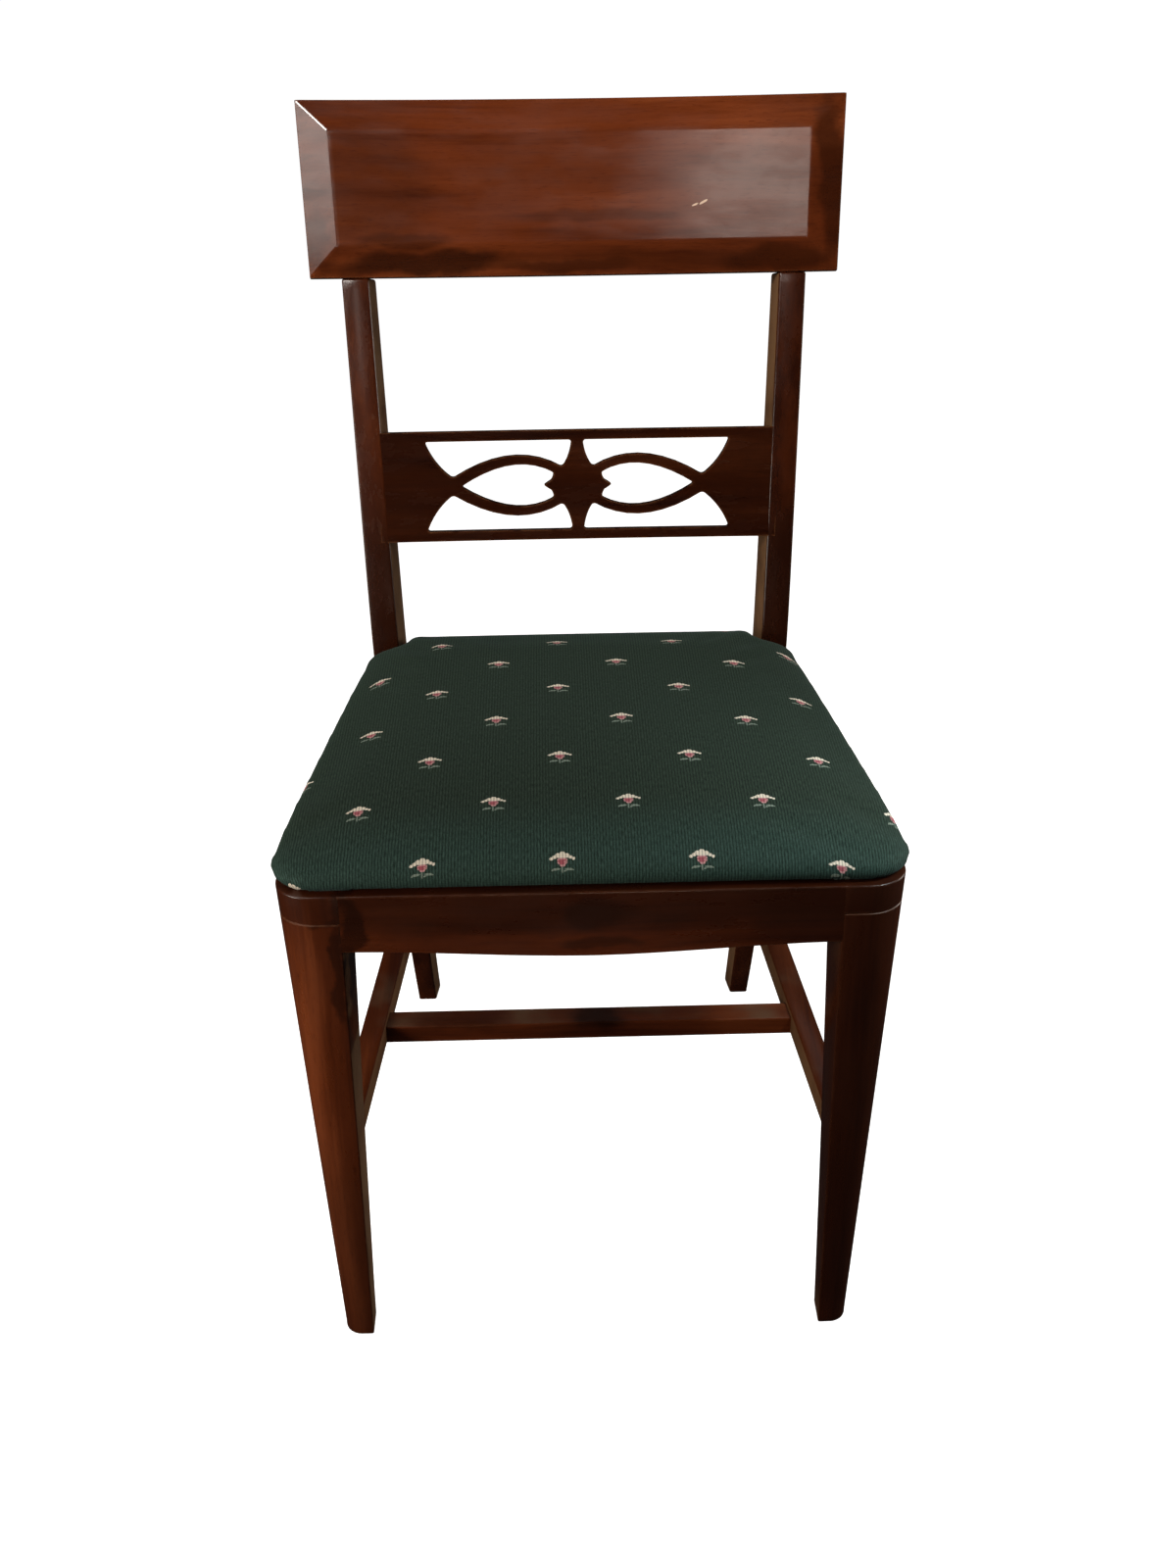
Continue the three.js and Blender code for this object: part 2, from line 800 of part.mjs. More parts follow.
const cushionFront = cushionSetback;
const cushionBack = seatDepth + cushionRearReach;
const cushionMiddleY = (cushionFront + cushionBack) / 2;
const cushionHalfDepth = (cushionBack - cushionFront) / 2;
const cushionHalfWidth = sideLine(cushionMiddleY) + cushionOverhang;
const cushionBottom = frameTop + fit;

// A rounded corner of an outline, between the sides that run to it and from it.
function softCorner(before, corner, after) {
  const toward = (from) => {
    const away = new THREE.Vector2().subVectors(from, corner);
    return away.setLength(Math.min(cushionRearRadius, away.length() / 2)).add(corner);
  };
  const curve = new THREE.QuadraticBezierCurve(toward(before), corner, toward(after));
  return curve.getPoints(cornerSteps);
}

// The points between a side's two ends, along its outward bow.
function swellingSide(start, end) {
  const pull = new THREE.Vector2().lerpVectors(start, end, 0.5);
  pull.x += 2 * cushionSideBow;
  return new THREE.QuadraticBezierCurve(start, pull, end).getPoints(sideSteps).slice(1, -1);
}

// The right half of the seat's outline, which steps in at the posts and runs back between them.
function seatHalfOutline() {
  const corner = frontCorner(frontHalf + cushionOverhang, cushionFront, frontLegTopRadius);
  const front = corner.map(([x, y]) => new THREE.Vector2(x, y));
  const stepY = seatDepth - cushionPostGap;
  const innerX = rearLegInner(seatDepth, frameTop) - cushionPostGap;
  const side = new THREE.Vector2(sideLine(stepY) + cushionOverhang, stepY - cushionPostGap);
  const notch = new THREE.Vector2(innerX, stepY);
  const rear = new THREE.Vector2(innerX - sideSlope * cushionRearReach, cushionBack);
  const middle = new THREE.Vector2(0, cushionBack);
  const sideCorner = softCorner(front.at(-1), side, notch);
  return [
    ...front,
    ...swellingSide(front.at(-1), sideCorner[0]),
    ...sideCorner,
    ...softCorner(side, notch, rear),
    ...softCorner(notch, rear, middle),
  ];
}

const seatOutline = (() => {
  const right = seatHalfOutline();
  const left = right.map(({ x, y }) => new THREE.Vector2(-x, y));
  return [...right, ...left.reverse()];
})();

// The outline drawn in all round by one distance, at a height.
function seatRing(inset, z) {
  const across = 1 - inset / cushionHalfWidth;
  const along = 1 - inset / cushionHalfDepth;
  return seatOutline.map(({ x, y }) =>
    point(x * across, cushionMiddleY + (y - cushionMiddleY) * along, z),
  );
}

// Height of the cushion's top over the frame, by its distance in from the edge.
function crownHeight(inset) {
  const share = 1 - (1 - inset / cushionHalfDepth) ** crownPower;
  return lerp(cushionEdgeHeight, cushionHeight, share);
}

// Insets of the crown's rings, as shares of half the seat's depth, from near the middle outwards
const crownShares = [0.93, 0.72, 0.52, 0.36, 0.24, 0.15, 0.085, 0.04, 0.012];

// The cushion's skin from its middle to its lower edge, at a distance inside the outer face.
function cushionSkin(inside) {
  const rings = crownShares.map((share) => {
    const inset = share * cushionHalfDepth;
    return seatRing(inset + inside, cushionBottom + crownHeight(inset) - inside);
  });
  const turn = cushionBottom + cushionEdgeHeight * cushionTuckShare;
  rings.push(seatRing(inside, cushionBottom + cushionEdgeHeight * cushionBellyShare));
  rings.push(seatRing(cushionTuck * cushionTuckShare + inside, turn));
  return rings;
}

function seatCover() {
  const lip = cushionTuck + coverTurnIn;
  const outer = [...cushionSkin(0), seatRing(cushionTuck, cushionBottom), seatRing(lip, cushionBottom)];
  const turned = cushionBottom + coverThickness;
  const inner = [...cushionSkin(coverThickness), seatRing(cushionTuck + coverThickness, turned)];
  return loft([...outer, seatRing(lip, turned), ...inner.reverse()].reverse());
}

// The pad fills the cover over the board.
function seatPadding() {
  const inside = coverThickness + fit;
  const boardTop = boardBottom + boardThickness;
  const rings = cushionSkin(inside).filter((ring) => ring[0].z > boardTop + 2 * fit);
  return loft([seatRing(boardInset, boardTop + fit), ...rings.reverse()]);
}

function seatBoard() {
  const blank = loft([
    seatRing(boardInset, boardBottom),
    seatRing(boardInset, boardBottom + boardThickness),
  ]);
  const holes = ["front", "rear"].map((corner) => placedScrew(corner, "seat", fit));
  return carve(blank, [], holes.flatMap(bothSides));
}

// The whole chair

const chair = new THREE.Group();

function addMesh(name, geometry, material) {
  const mesh = new THREE.Mesh(geometry, material);
  mesh.name = name;
  chair.add(mesh);
  return mesh;
}

// Adds a piece on the right of the chair and its mirror image on the left.
function addPair(name, geometry, material) {
  addMesh(name + "_right", geometry, material);
  addMesh(name + "_left", geometry, material).scale.x = -1;
}

const frontScrewHoles = bothSides(placedScrew("front", "cross", fit));
const rearScrewHoles = bothSides(placedScrew("rear", "cross", fit));

const frontLeg = carve(
  frontLegBlank(),
  [],
  [frontRailTenons(fit), sideRailTenons(fit), sideStretcherTenons(fit)],
);
const rearLeg = carve(
  rearLegBlank(),
  [crestTenon(0)],
  [rearRailTenons(fit), sideRailTenons(fit), sideStretcherTenons(fit), crossTenons(fit)],
);
addPair("front_leg", frontLeg, mahogany);
addPair("rear_leg", rearLeg, mahogany);

const crest = carve(crestBlank(), [], bothSides(crestTenon(fit)));
addMesh("crest_rail", crest, mahogany);
addMesh("cross_rail", crossRail(), mahogany);

const frontRailSolid = carve(frontRail(), [frontRailTenons(0)], frontScrewHoles);
const rearRailSolid = carve(rearRail(), [rearRailTenons(0)], rearScrewHoles);
const sideHoles = [placedScrew("front", "side", fit), placedScrew("rear", "side", fit)];
addMesh("front_seat_rail", frontRailSolid, mahogany);
addMesh("rear_seat_rail", rearRailSolid, mahogany);
addPair("side_seat_rail", carve(sideRail(), [sideRailTenons(0)], sideHoles), mahogany);

const sideStretcherSolid = carve(sideStretcher(), [sideStretcherTenons(0)], [medialTenons(fit)]);
addPair("side_stretcher", sideStretcherSolid, mahogany);
addMesh("medial_stretcher", carve(medialStretcher(), [medialTenons(0)], []), mahogany);

for (const corner of ["front", "rear"]) {
  addPair("corner_block_" + corner, cornerBlock(corner), blockWood);
  addPair("block_screw_cross_" + corner, placedScrew(corner, "cross", 0), steel);
  addPair("block_screw_side_" + corner, placedScrew(corner, "side", 0), steel);
  addPair("seat_screw_" + corner, placedScrew(corner, "seat", 0), steel);
}

addMesh("seat_board", seatBoard(), plywood);
addMesh("seat_padding", seatPadding(), foam);
addMesh("seat_cover", seatCover(), fabric);

// The origin goes to the middle of the chair's box, on the floor.
const box = new THREE.Box3().setFromObject(chair, true);
const middle = box.getCenter(new THREE.Vector3());
chair.position.set(-middle.x, -middle.y, -box.min.z);

export default chair;
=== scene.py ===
import bpy
import bmesh
import math
from mathutils import Matrix, Vector


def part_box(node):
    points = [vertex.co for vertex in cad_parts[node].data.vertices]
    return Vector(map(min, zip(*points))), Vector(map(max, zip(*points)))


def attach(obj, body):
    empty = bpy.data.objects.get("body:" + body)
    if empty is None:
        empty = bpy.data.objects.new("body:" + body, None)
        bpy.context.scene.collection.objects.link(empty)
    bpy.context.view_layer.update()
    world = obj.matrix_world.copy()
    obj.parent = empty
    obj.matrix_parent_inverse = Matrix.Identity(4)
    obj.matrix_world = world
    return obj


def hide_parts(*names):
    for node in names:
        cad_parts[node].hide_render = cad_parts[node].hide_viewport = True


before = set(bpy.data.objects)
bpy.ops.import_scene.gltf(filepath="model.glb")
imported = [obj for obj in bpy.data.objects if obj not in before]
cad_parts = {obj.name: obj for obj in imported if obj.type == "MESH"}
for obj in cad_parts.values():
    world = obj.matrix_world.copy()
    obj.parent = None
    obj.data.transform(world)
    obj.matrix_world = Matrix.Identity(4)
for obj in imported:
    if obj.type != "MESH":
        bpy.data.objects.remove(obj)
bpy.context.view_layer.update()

# A mahogany dining chair. Lengths in the pieces' dictionaries are millimetres. X runs across, Z runs up,
# the chair faces -Y, and y values there count back from the front legs' faces.

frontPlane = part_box("front_leg_right")[0][1]

chair = {
    "frameTop": 443, "railBottom": 394, "seatDepth": 370,
    "sideSlope": 0.1357,  # how fast the sides draw in towards the back
    "joint": 3,  # how far a rail's end runs into its leg
    "smooth": 32,  # edges flatter than this many degrees are shaded smooth
}


def mm(*values):
    return [value / 1000 for value in values]


def place(x, y, z):
    return Vector((x / 1000, frontPlane + y / 1000, z / 1000))


def mix(a, b, share):
    return a + (b - a) * share


def clamp(value):
    return min(max(value, 0), 1)


def ease(value):
    share = clamp(value)
    return share ** 2 * (3 - 2 * share)


def isAt(value, length):
    return abs(value - length / 1000) < 1e-5


# Modelling, with the same few steps for every piece

def clearSelection():
    if bpy.context.object and bpy.context.object.mode != "OBJECT":
        bpy.ops.object.mode_set(mode="OBJECT")
    bpy.ops.object.select_all(action="DESELECT")


def choose(piece):
    clearSelection()
    piece.select_set(True)
    bpy.context.view_layer.objects.active = piece


def openMesh(piece):
    choose(piece)
    bpy.ops.object.mode_set(mode="EDIT")


def closeMesh():
    bpy.ops.object.mode_set(mode="OBJECT")


def addBlock(name, low, high):
    clearSelection()
    bpy.ops.mesh.primitive_cube_add(size=1, location=(low + high) / 2)
    block = bpy.context.object
    block.name = block.data.name = name
    block.scale = high - low
    bpy.ops.object.transform_apply(location=True, rotation=True, scale=True)
    return block


def pick(piece, kind, test):
    bpy.context.tool_settings.mesh_select_mode = [kind == k for k in ("VERT", "EDGE", "FACE")]
    mesh = bmesh.from_edit_mesh(piece.data)
    mesh.select_mode = {kind}
    for items in (mesh.verts, mesh.edges, mesh.faces):
        for item in items:
            item.select_set(False)
    for item in {"VERT": mesh.verts, "EDGE": mesh.edges, "FACE": mesh.faces}[kind]:
        if test(item):
            item.select_set(True)
    mesh.select_flush_mode()
    bmesh.update_edit_mesh(piece.data)


def along(edge):
    return (edge.verts[1].co - edge.verts[0].co).normalized()


def middleOf(item):
    return sum((vert.co for vert in item.verts), Vector()) / len(item.verts)


def cutAcross(piece, spots, normal):
    for spot in spots:
        pick(piece, "FACE", lambda face: True)
        bpy.ops.mesh.bisect(plane_co=spot, plane_no=normal)


def applyModifier(piece, kind, **settings):
    choose(piece)
    modifier = piece.modifiers.new(kind.title(), kind)
    for key, value in settings.items():
        setattr(modifier, key, value)
    bpy.ops.object.modifier_apply(modifier=modifier.name)


def smooth(piece, angle=chair["smooth"]):
    choose(piece)
    bpy.ops.object.shade_smooth_by_angle(angle=math.radians(angle))


def roundEdges(piece, width, segments=3, angle=chair["smooth"]):
    applyModifier(piece, "BEVEL", width=width / 1000, segments=segments, limit_method="ANGLE",
                  angle_limit=math.radians(angle), harden_normals=False)
    smooth(piece, angle)


def mirrorCopy(piece, name):
    choose(piece)
    bpy.ops.object.duplicate()
    copy = bpy.context.object
    copy.name = copy.data.name = name
    copy.scale.x = -1
    bpy.ops.object.transform_apply(location=False, rotation=False, scale=True)
    openMesh(copy)
    faceOut(copy)
    closeMesh()
    return copy


def finishPiece(piece, material, slot, *nodes):
    piece.data.materials.clear()
    piece.data.materials.append(material)
    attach(piece, "root")
    if nodes:
        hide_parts(*nodes)
    print("made", piece.name, len(piece.data.polygons), "faces")


def settle(piece, tilt, spot):
    piece.rotation_euler = (tilt, 0, 0)
    piece.location = spot
    choose(piece)
    bpy.ops.object.transform_apply(location=True, rotation=True, scale=True)


def levels(low, high, count):
    return [mix(low, high, i / count) for i in range(count + 1)]


def growUp(piece, heights, sectionAt):
    for low, high in zip(heights, heights[1:]):
        a, b = sectionAt(low), sectionAt(high)
        pick(piece, "FACE", lambda face: face.normal.z > 0.9 and isAt(middleOf(face).z, low))
        step = mm(b["x"] - a["x"], b["y"] - a["y"], high - low)
        bpy.ops.mesh.extrude_region_move(TRANSFORM_OT_translate={"value": step})
        bpy.ops.transform.resize(value=(b["width"] / a["width"], b["depth"] / a["depth"], 1),
                                 center_override=place(b["x"], b["y"], high))


def faceOut(piece):
    pick(piece, "FACE", lambda face: True)
    bpy.ops.mesh.normals_make_consistent(inside=False)


# Front legs: tapered to the foot, with a wide round corner outside

frontLeg = {
    "gap": 183, "footInset": 5.6, "topWidth": 54.2, "footWidth": 26.5, "topDepth": 47, "footDepth": 25,
    "turnIn": 4.7,  # how far the inner face turns in towards the back, at the top
    "roundCorner": 17, "cornerSteps": 12, "firstStep": 6, "steps": 12, "scribeDrop": 24, "scribeDepth": 0.8,
    "edge": 1.5,
}


def frontLegAt(z):
    share = z / chair["frameTop"]
    return {
        "x": frontLeg["gap"] + mix(frontLeg["footInset"], 0, share), "y": 0,
        "width": mix(frontLeg["footWidth"], frontLeg["topWidth"], share),
        "depth": mix(frontLeg["footDepth"], frontLeg["topDepth"], share),
    }


def buildFrontLeg():
    foot = frontLegAt(0)
    outer = foot["x"] + foot["width"]
    leg = addBlock("front_leg_right_wood", place(foot["x"], 0, 0),
                   place(outer, foot["depth"], frontLeg["firstStep"]))
    openMesh(leg)
    upright = lambda edge: abs(along(edge).z) > 0.9 and middleOf(edge).x > (outer - 1) / 1000
    back = place(0, foot["depth"] - 1, 0).y
    pick(leg, "EDGE", lambda edge: upright(edge) and middleOf(edge).y > back)
    bpy.ops.transform.translate(value=(-chair["sideSlope"] * foot["depth"] / 1000, 0, 0))
    pick(leg, "EDGE", lambda edge: upright(edge) and middleOf(edge).y < back)
    bpy.ops.mesh.bevel(offset=frontLeg["roundCorner"] / 1000, segments=frontLeg["cornerSteps"])
    heights = [frontLeg["firstStep"], *levels(0, chair["frameTop"], frontLeg["steps"])[1:]]
    growUp(leg, heights, frontLegAt)
    for height in heights:
        here = frontLegAt(height)
        inner, behind = place(here["x"] + 1, here["depth"] - 1, height)[:2]
        pick(leg, "VERT", lambda vert: isAt(vert.co.z, height) and vert.co.x < inner and vert.co.y > behind)
        turnedIn = frontLeg["turnIn"] * height * here["depth"] / chair["frameTop"] / frontLeg["topDepth"]
        bpy.ops.transform.translate(value=mm(-turnedIn, 0, 0))
    faceOut(leg)
    closeMesh()
    roundEdges(leg, frontLeg["edge"])
    openMesh(leg)
    line = chair["frameTop"] - frontLeg["scribeDrop"]
    deep = frontLeg["scribeDepth"]
    cutAcross(leg, [place(0, 0, line + shift) for shift in (-deep, 0, deep)], (0, 0, 1))
    pick(leg, "VERT", lambda vert: isAt(vert.co.z, line))
    top = frontLegAt(line)
    bpy.ops.transform.resize(
        value=((top["width"] - deep) / top["width"], (top["depth"] - deep) / top["depth"], 1),
        center_override=place(top["x"], top["depth"], line))
    closeMesh()
    return leg


# Rear legs: swept back to the foot, and leaning back above the seat

rearLeg = {
    "half": 187, "width": 24, "footWidth": 19, "depth": 33.5, "footDepth": 25, "tuck": 9, "sweep": 98,
    "sweepPower": 1.8, "postHeight": 332, "topWidth": 23.5, "topDepth": 22, "splay": 12.6, "lean": 87.5,
    "bow": 6, "bend": 35, "edge": 2.2, "firstStep": 4, "sweepSteps": 16, "postSteps": 12,
    "kneeRises": (0, 8, 18, 30, 45, 62, 84),
    "spare": 12,  # post length above the crest's joint, which the tilted cut takes off
    "cutRise": 0.1,  # the cut's height over the crest's joint
}


def leanSlope(z):
    rise = z - chair["frameTop"]
    if rise <= 0:
        return 0
    bend = rearLeg["lean"] * rise / (rearLeg["postHeight"] * math.hypot(rise, rearLeg["bend"]))
    return bend + 2 * rearLeg["bow"] * rise / rearLeg["postHeight"] ** 2


def rearLegFront(z):
    rise = z - chair["frameTop"]
    if rise > 0:
        lean = rearLeg["lean"] * (math.hypot(rise, rearLeg["bend"]) - rearLeg["bend"]) / rearLeg["postHeight"]
        return chair["seatDepth"] + lean + rearLeg["bow"] * (rise / rearLeg["postHeight"]) ** 2
    drop = max(0, chair["railBottom"] - z) / chair["railBottom"]
    return chair["seatDepth"] + rearLeg["sweep"] * drop ** rearLeg["sweepPower"]


def rearLegAt(z):
    rise = (z - chair["frameTop"]) / rearLeg["postHeight"]
    share = z / chair["frameTop"]
    between = lambda a, b, part: mix(rearLeg[a], rearLeg[b], part)
    if rise > 0:
        outer = rearLeg["half"] + rearLeg["splay"] * rise
        width, depth = between("width", "topWidth", rise), between("depth", "topDepth", rise)
    else:
        outer = rearLeg["half"] - rearLeg["tuck"] * (1 - share)
        width, depth = between("footWidth", "width", share), between("footDepth", "depth", share)
    return {"x": outer, "y": rearLegFront(z), "width": width, "depth": depth * (1 + leanSlope(z) ** 2)}


postTop = chair["frameTop"] + rearLeg["postHeight"]
crestTilt = math.atan(leanSlope(postTop))


def buildRearLeg():
    foot = rearLegAt(0)
    leg = addBlock("rear_leg_right_wood", place(foot["x"] - foot["width"], foot["y"], 0),
                   place(foot["x"], foot["y"] + foot["depth"], rearLeg["firstStep"]))
    openMesh(leg)
    back = place(0, foot["y"] + foot["depth"] - 1, 0).y
    pick(leg, "EDGE", lambda edge: abs(along(edge).z) > 0.9 and middleOf(edge).y > back)
    bpy.ops.transform.translate(value=(-chair["sideSlope"] * foot["depth"] / 1000, 0, 0))
    sweep = levels(0, chair["railBottom"], rearLeg["sweepSteps"])[1:]
    knee = [chair["frameTop"] + rise for rise in rearLeg["kneeRises"]]
    post = levels(knee[-1], postTop + rearLeg["spare"], rearLeg["postSteps"])[1:]
    growUp(leg, [rearLeg["firstStep"], *sweep, *knee, *post], rearLegAt)
    pick(leg, "FACE", lambda face: True)
    bpy.ops.mesh.bisect(plane_co=place(0, rearLegFront(postTop), postTop + rearLeg["cutRise"]),
                        plane_no=(0, math.sin(crestTilt), math.cos(crestTilt)),
                        use_fill=True, clear_outer=True)
    faceOut(leg)
    closeMesh()
    roundEdges(leg, rearLeg["edge"])
    return leg


# Crest rail: a tablet with a raised field, mitred bevels round it and a hollow in plan

crest = {
    "height": 143, "topHalf": 231, "bottomHalf": 225.5, "thickness": 25, "bevelWidth": 26, "bevelDrop": 8,
    "proud": 7.5, "hollow": 12, "fieldEdge": 2.4, "mitreEdge": 1.6, "edge": 1.3, "cuts": 44,
    "smooth": 12,
    "rise": 0.3,  # the lower edge's height over the joint with the posts
}


def bendAcross(piece, half, hollow, towards, cuts):
    openMesh(piece)
    cutAcross(piece, [Vector((x / 1000, 0, 0)) for x in levels(-half, half, cuts)[1:-1]], (1, 0, 0))
    closeMesh()
    radius = half ** 2 / (2 * hollow)
    applyModifier(piece, "SIMPLE_DEFORM", deform_method="BEND", deform_axis="Z",
                  angle=towards * 2 * half / radius)


def buildCrest():
    half, rim = crest["topHalf"], crest["bevelDrop"] - crest["proud"]
    board = addBlock("crest_rail_wood", Vector(mm(-half, rim, 0)),
                     Vector(mm(half, crest["thickness"] - crest["proud"], crest["height"])))
    openMesh(board)
    pick(board, "VERT", lambda vert: vert.co.z < 0.001)
    bpy.ops.transform.resize(value=(crest["bottomHalf"] / half, 1, 1), center_override=(0, 0, 0))
    pick(board, "FACE", lambda face: face.normal.y < -0.9)
    bpy.ops.mesh.inset(thickness=crest["bevelWidth"] / 1000, depth=crest["bevelDrop"] / 1000)
    field = -crest["proud"] / 1000 + 1e-5
    pick(board, "EDGE", lambda edge: all(vert.co.y < field for vert in edge.verts))
    bpy.ops.mesh.bevel(offset=crest["fieldEdge"] / 1000, segments=3)
    pick(board, "EDGE", lambda edge: abs(along(edge).y) > 0.15 and abs(along(edge).z) > 0.3
         and abs(middleOf(edge).x) > 0.19 and edge.calc_length() > 0.01)
    bpy.ops.mesh.bevel(offset=crest["mitreEdge"] / 1000, segments=2)
    closeMesh()
    roundEdges(board, crest["edge"])
    bendAcross(board, half, crest["hollow"], -1, crest["cuts"])
    stand = (rearLeg["half"] + rearLeg["splay"] - rearLeg["topWidth"] / 2) / half
    back = crest["hollow"] * stand ** 2
    base = place(0, rearLegFront(postTop), postTop + crest["rise"])
    settle(board, -crestTilt, base + Vector(mm(0, back * math.cos(crestTilt), -back * math.sin(crestTilt))))
    return board


# Cross rail: a curved slab sawn through to leave two lens-shaped rings and a pointed star

crossRail = {
    "drop": 217, "height": 95.5, "thickness": 14, "setback": 2, "hollow": 5, "half": 169.4, "reach": 175,
    "sawRadius": 2.6, "sawDepth": 20, "sawSteps": 9, "sawAngle": 28, "edge": 0.9, "edgeSteps": 2,
    "edgeAngle": 40, "cuts": 36,
    "cornerOpening": {
        "corners": [(0.79, 0.82), (0.03, 0.82), (0.08, 0.33), (0.65, 0.155)],
        "pulls": [(0.4, 0.82), (0.038, 0.52), (0.33, 0.85), (0.745, 0.4)],
    },
    "lensOpening": {
        "corners": [(0.606, 0), (0.128, 0.235), (0.14, 0.085), (0.176, 0), (0.14, -0.085), (0.128, -0.235)],
        "pulls": [(0.33, 0.62), (0.124, 0.16), (0.16, 0.045), (0.16, -0.045), (0.124, -0.16), (0.33, -0.62)],
    },
}


def sawCut(opening, turnX, turnZ):
    clearSelection()
    bpy.ops.curve.primitive_bezier_circle_add()
    outline = bpy.context.object
    outline.data.dimensions, outline.data.fill_mode = "2D", "BOTH"
    outline.data.extrude, outline.data.resolution_u = crossRail["sawDepth"] / 1000, crossRail["sawSteps"]
    spot = lambda pair: Vector((pair[0] * turnX * crossRail["half"] / 1000,
                                (1 + pair[1] * turnZ) * crossRail["height"] / 2000, 0))
    corners, pulls = [spot(pair) for pair in opening["corners"]], [spot(pair) for pair in opening["pulls"]]
    points = outline.data.splines[0].bezier_points
    points.add(len(corners) - len(points))
    for i, corner in enumerate(corners):
        points[i].handle_left_type = points[i].handle_right_type = "FREE"
        points[i].co = corner
        points[i].handle_right = corner.lerp(pulls[i], 2 / 3)
        points[i].handle_left = corner.lerp(pulls[i - 1], 2 / 3)
    outline.rotation_euler = (math.pi / 2, 0, 0)
    bpy.ops.object.convert(target="MESH")
    saw = bpy.context.object
    bpy.ops.object.transform_apply(location=True, rotation=True, scale=True)
    openMesh(saw)
    pick(saw, "VERT", lambda vert: True)
    bpy.ops.mesh.remove_doubles(threshold=1e-6)
    faceOut(saw)
    sharp = math.radians(crossRail["sawAngle"])
    pick(saw, "EDGE", lambda edge: abs(along(edge).y) > 0.9 and edge.calc_face_angle(0) > sharp)
    bpy.ops.mesh.bevel(offset=crossRail["sawRadius"] / 1000, segments=4)
    closeMesh()
    return saw


def buildCrossRail():
    reach, back = crossRail["reach"], crossRail["setback"] + crossRail["thickness"]
    rail = addBlock("cross_rail_wood", Vector(mm(-reach, crossRail["setback"], 0)),
                    Vector(mm(reach, back, crossRail["height"])))
    for turnX in (1, -1):
        saws = [sawCut(crossRail["lensOpening"], turnX, 1)]
        saws += [sawCut(crossRail["cornerOpening"], turnX, turnZ) for turnZ in (1, -1)]
        for saw in saws:
            applyModifier(rail, "BOOLEAN", object=saw, operation="DIFFERENCE", solver="EXACT")
            bpy.data.objects.remove(saw)
    roundEdges(rail, crossRail["edge"], crossRail["edgeSteps"], crossRail["edgeAngle"])
    bendAcross(rail, reach, crossRail["hollow"], -1, crossRail["cuts"])
    low = postTop - crossRail["drop"]
    tilt = math.atan(leanSlope(low + crossRail["height"] / 2))
    base = place(0, rearLegFront(low), low)
    forward = crossRail["hollow"]
    settle(rail, -tilt, base + Vector(mm(0, forward * math.cos(tilt), -forward * math.sin(tilt))))
    return rail


# Seat rails and stretchers

rails = {
    "thickness": 22, "apronDrop": 7.5, "apronCuts": 28, "frontSetback": 0.15, "rearSetback": 11.5,
    "rearThickness": 19, "edge": 1.2,
    "stretcherTop": 190, "stretcherHeight": 22, "stretcherWidth": 20, "stretcherFrontX": 202.5,
    "stretcherRearX": 171, "medialFront": 181, "medialDepth": 23, "medialHeight": 17.5, "stretcherEdge": 1.6,
}
frontHalf = frontLeg["gap"] + frontLeg["topWidth"]


def buildFrontRail():
    reach = frontLeg["gap"] + chair["joint"]
    rail = addBlock("front_seat_rail_wood", place(-reach, rails["frontSetback"], chair["railBottom"]),
                    place(reach, rails["thickness"], chair["frameTop"]))
    openMesh(rail)
    cutAcross(rail, [place(x, 0, 0) for x in levels(-reach, reach, rails["apronCuts"])[1:-1]], (1, 0, 0))
    low = chair["railBottom"] / 1000 + 1e-5
    pick(rail, "VERT", lambda vert: vert.co.z > low)
    bpy.ops.mesh.hide(unselected=False)
    pick(rail, "VERT", lambda vert: isAt(vert.co.x, 0) and not vert.hide)
    bpy.ops.transform.translate(value=mm(0, 0, -rails["apronDrop"]), use_proportional_edit=True,
                                proportional_edit_falloff="SMOOTH", proportional_size=reach / 1000)
    bpy.ops.mesh.reveal(select=False)
    closeMesh()
    roundEdges(rail, rails["edge"])
    return rail


def buildRearRail():
    front = chair["seatDepth"] + rails["rearSetback"]
    reach = rearLeg["half"] - rearLeg["width"] - chair["sideSlope"] * rails["rearSetback"] + chair["joint"]
    rail = addBlock("rear_seat_rail_wood", place(-reach, front, chair["railBottom"]),
                    place(reach, front + rails["rearThickness"], chair["frameTop"]))
    roundEdges(rail, rails["edge"])
    return rail


def addTurnedBar(name, start, end, width, top, height, edge):
    run = Vector(end) - Vector(start)
    bar = addBlock(name, Vector(mm(-width / 2, 0, top - height)), Vector(mm(width / 2, run.length, top)))
    roundEdges(bar, edge)
    bar.rotation_euler = (0, 0, math.atan2(-run.x, run.y))
    bar.location = place(start[0], start[1], 0)
    choose(bar)
    bpy.ops.object.transform_apply(location=True, rotation=True, scale=True)
    return bar


def buildSideRail():
    centre = lambda y: (frontHalf - rails["thickness"] / 2 - chair["sideSlope"] * y, y)
    start, end = frontLeg["topDepth"] - 2 * chair["joint"], chair["seatDepth"] + chair["joint"]
    return addTurnedBar("side_seat_rail_right_wood", centre(start), centre(end), rails["thickness"],
                        chair["frameTop"], chair["frameTop"] - chair["railBottom"], rails["edge"])


def stretcherLine():
    top = rails["stretcherTop"]
    return (rails["stretcherFrontX"], frontLegAt(top)["depth"]), (rails["stretcherRearX"], rearLegFront(top))


def buildSideStretcher():
    (x0, y0), (x1, y1) = stretcherLine()
    slope = (x1 - x0) / (y1 - y0)
    joint = chair["joint"]
    return addTurnedBar("side_stretcher_right_wood", (x0 - slope * joint, y0 - joint),
                        (x1 + slope * 3 * joint, y1 + 3 * joint), rails["stretcherWidth"],
                        rails["stretcherTop"], rails["stretcherHeight"], rails["stretcherEdge"])


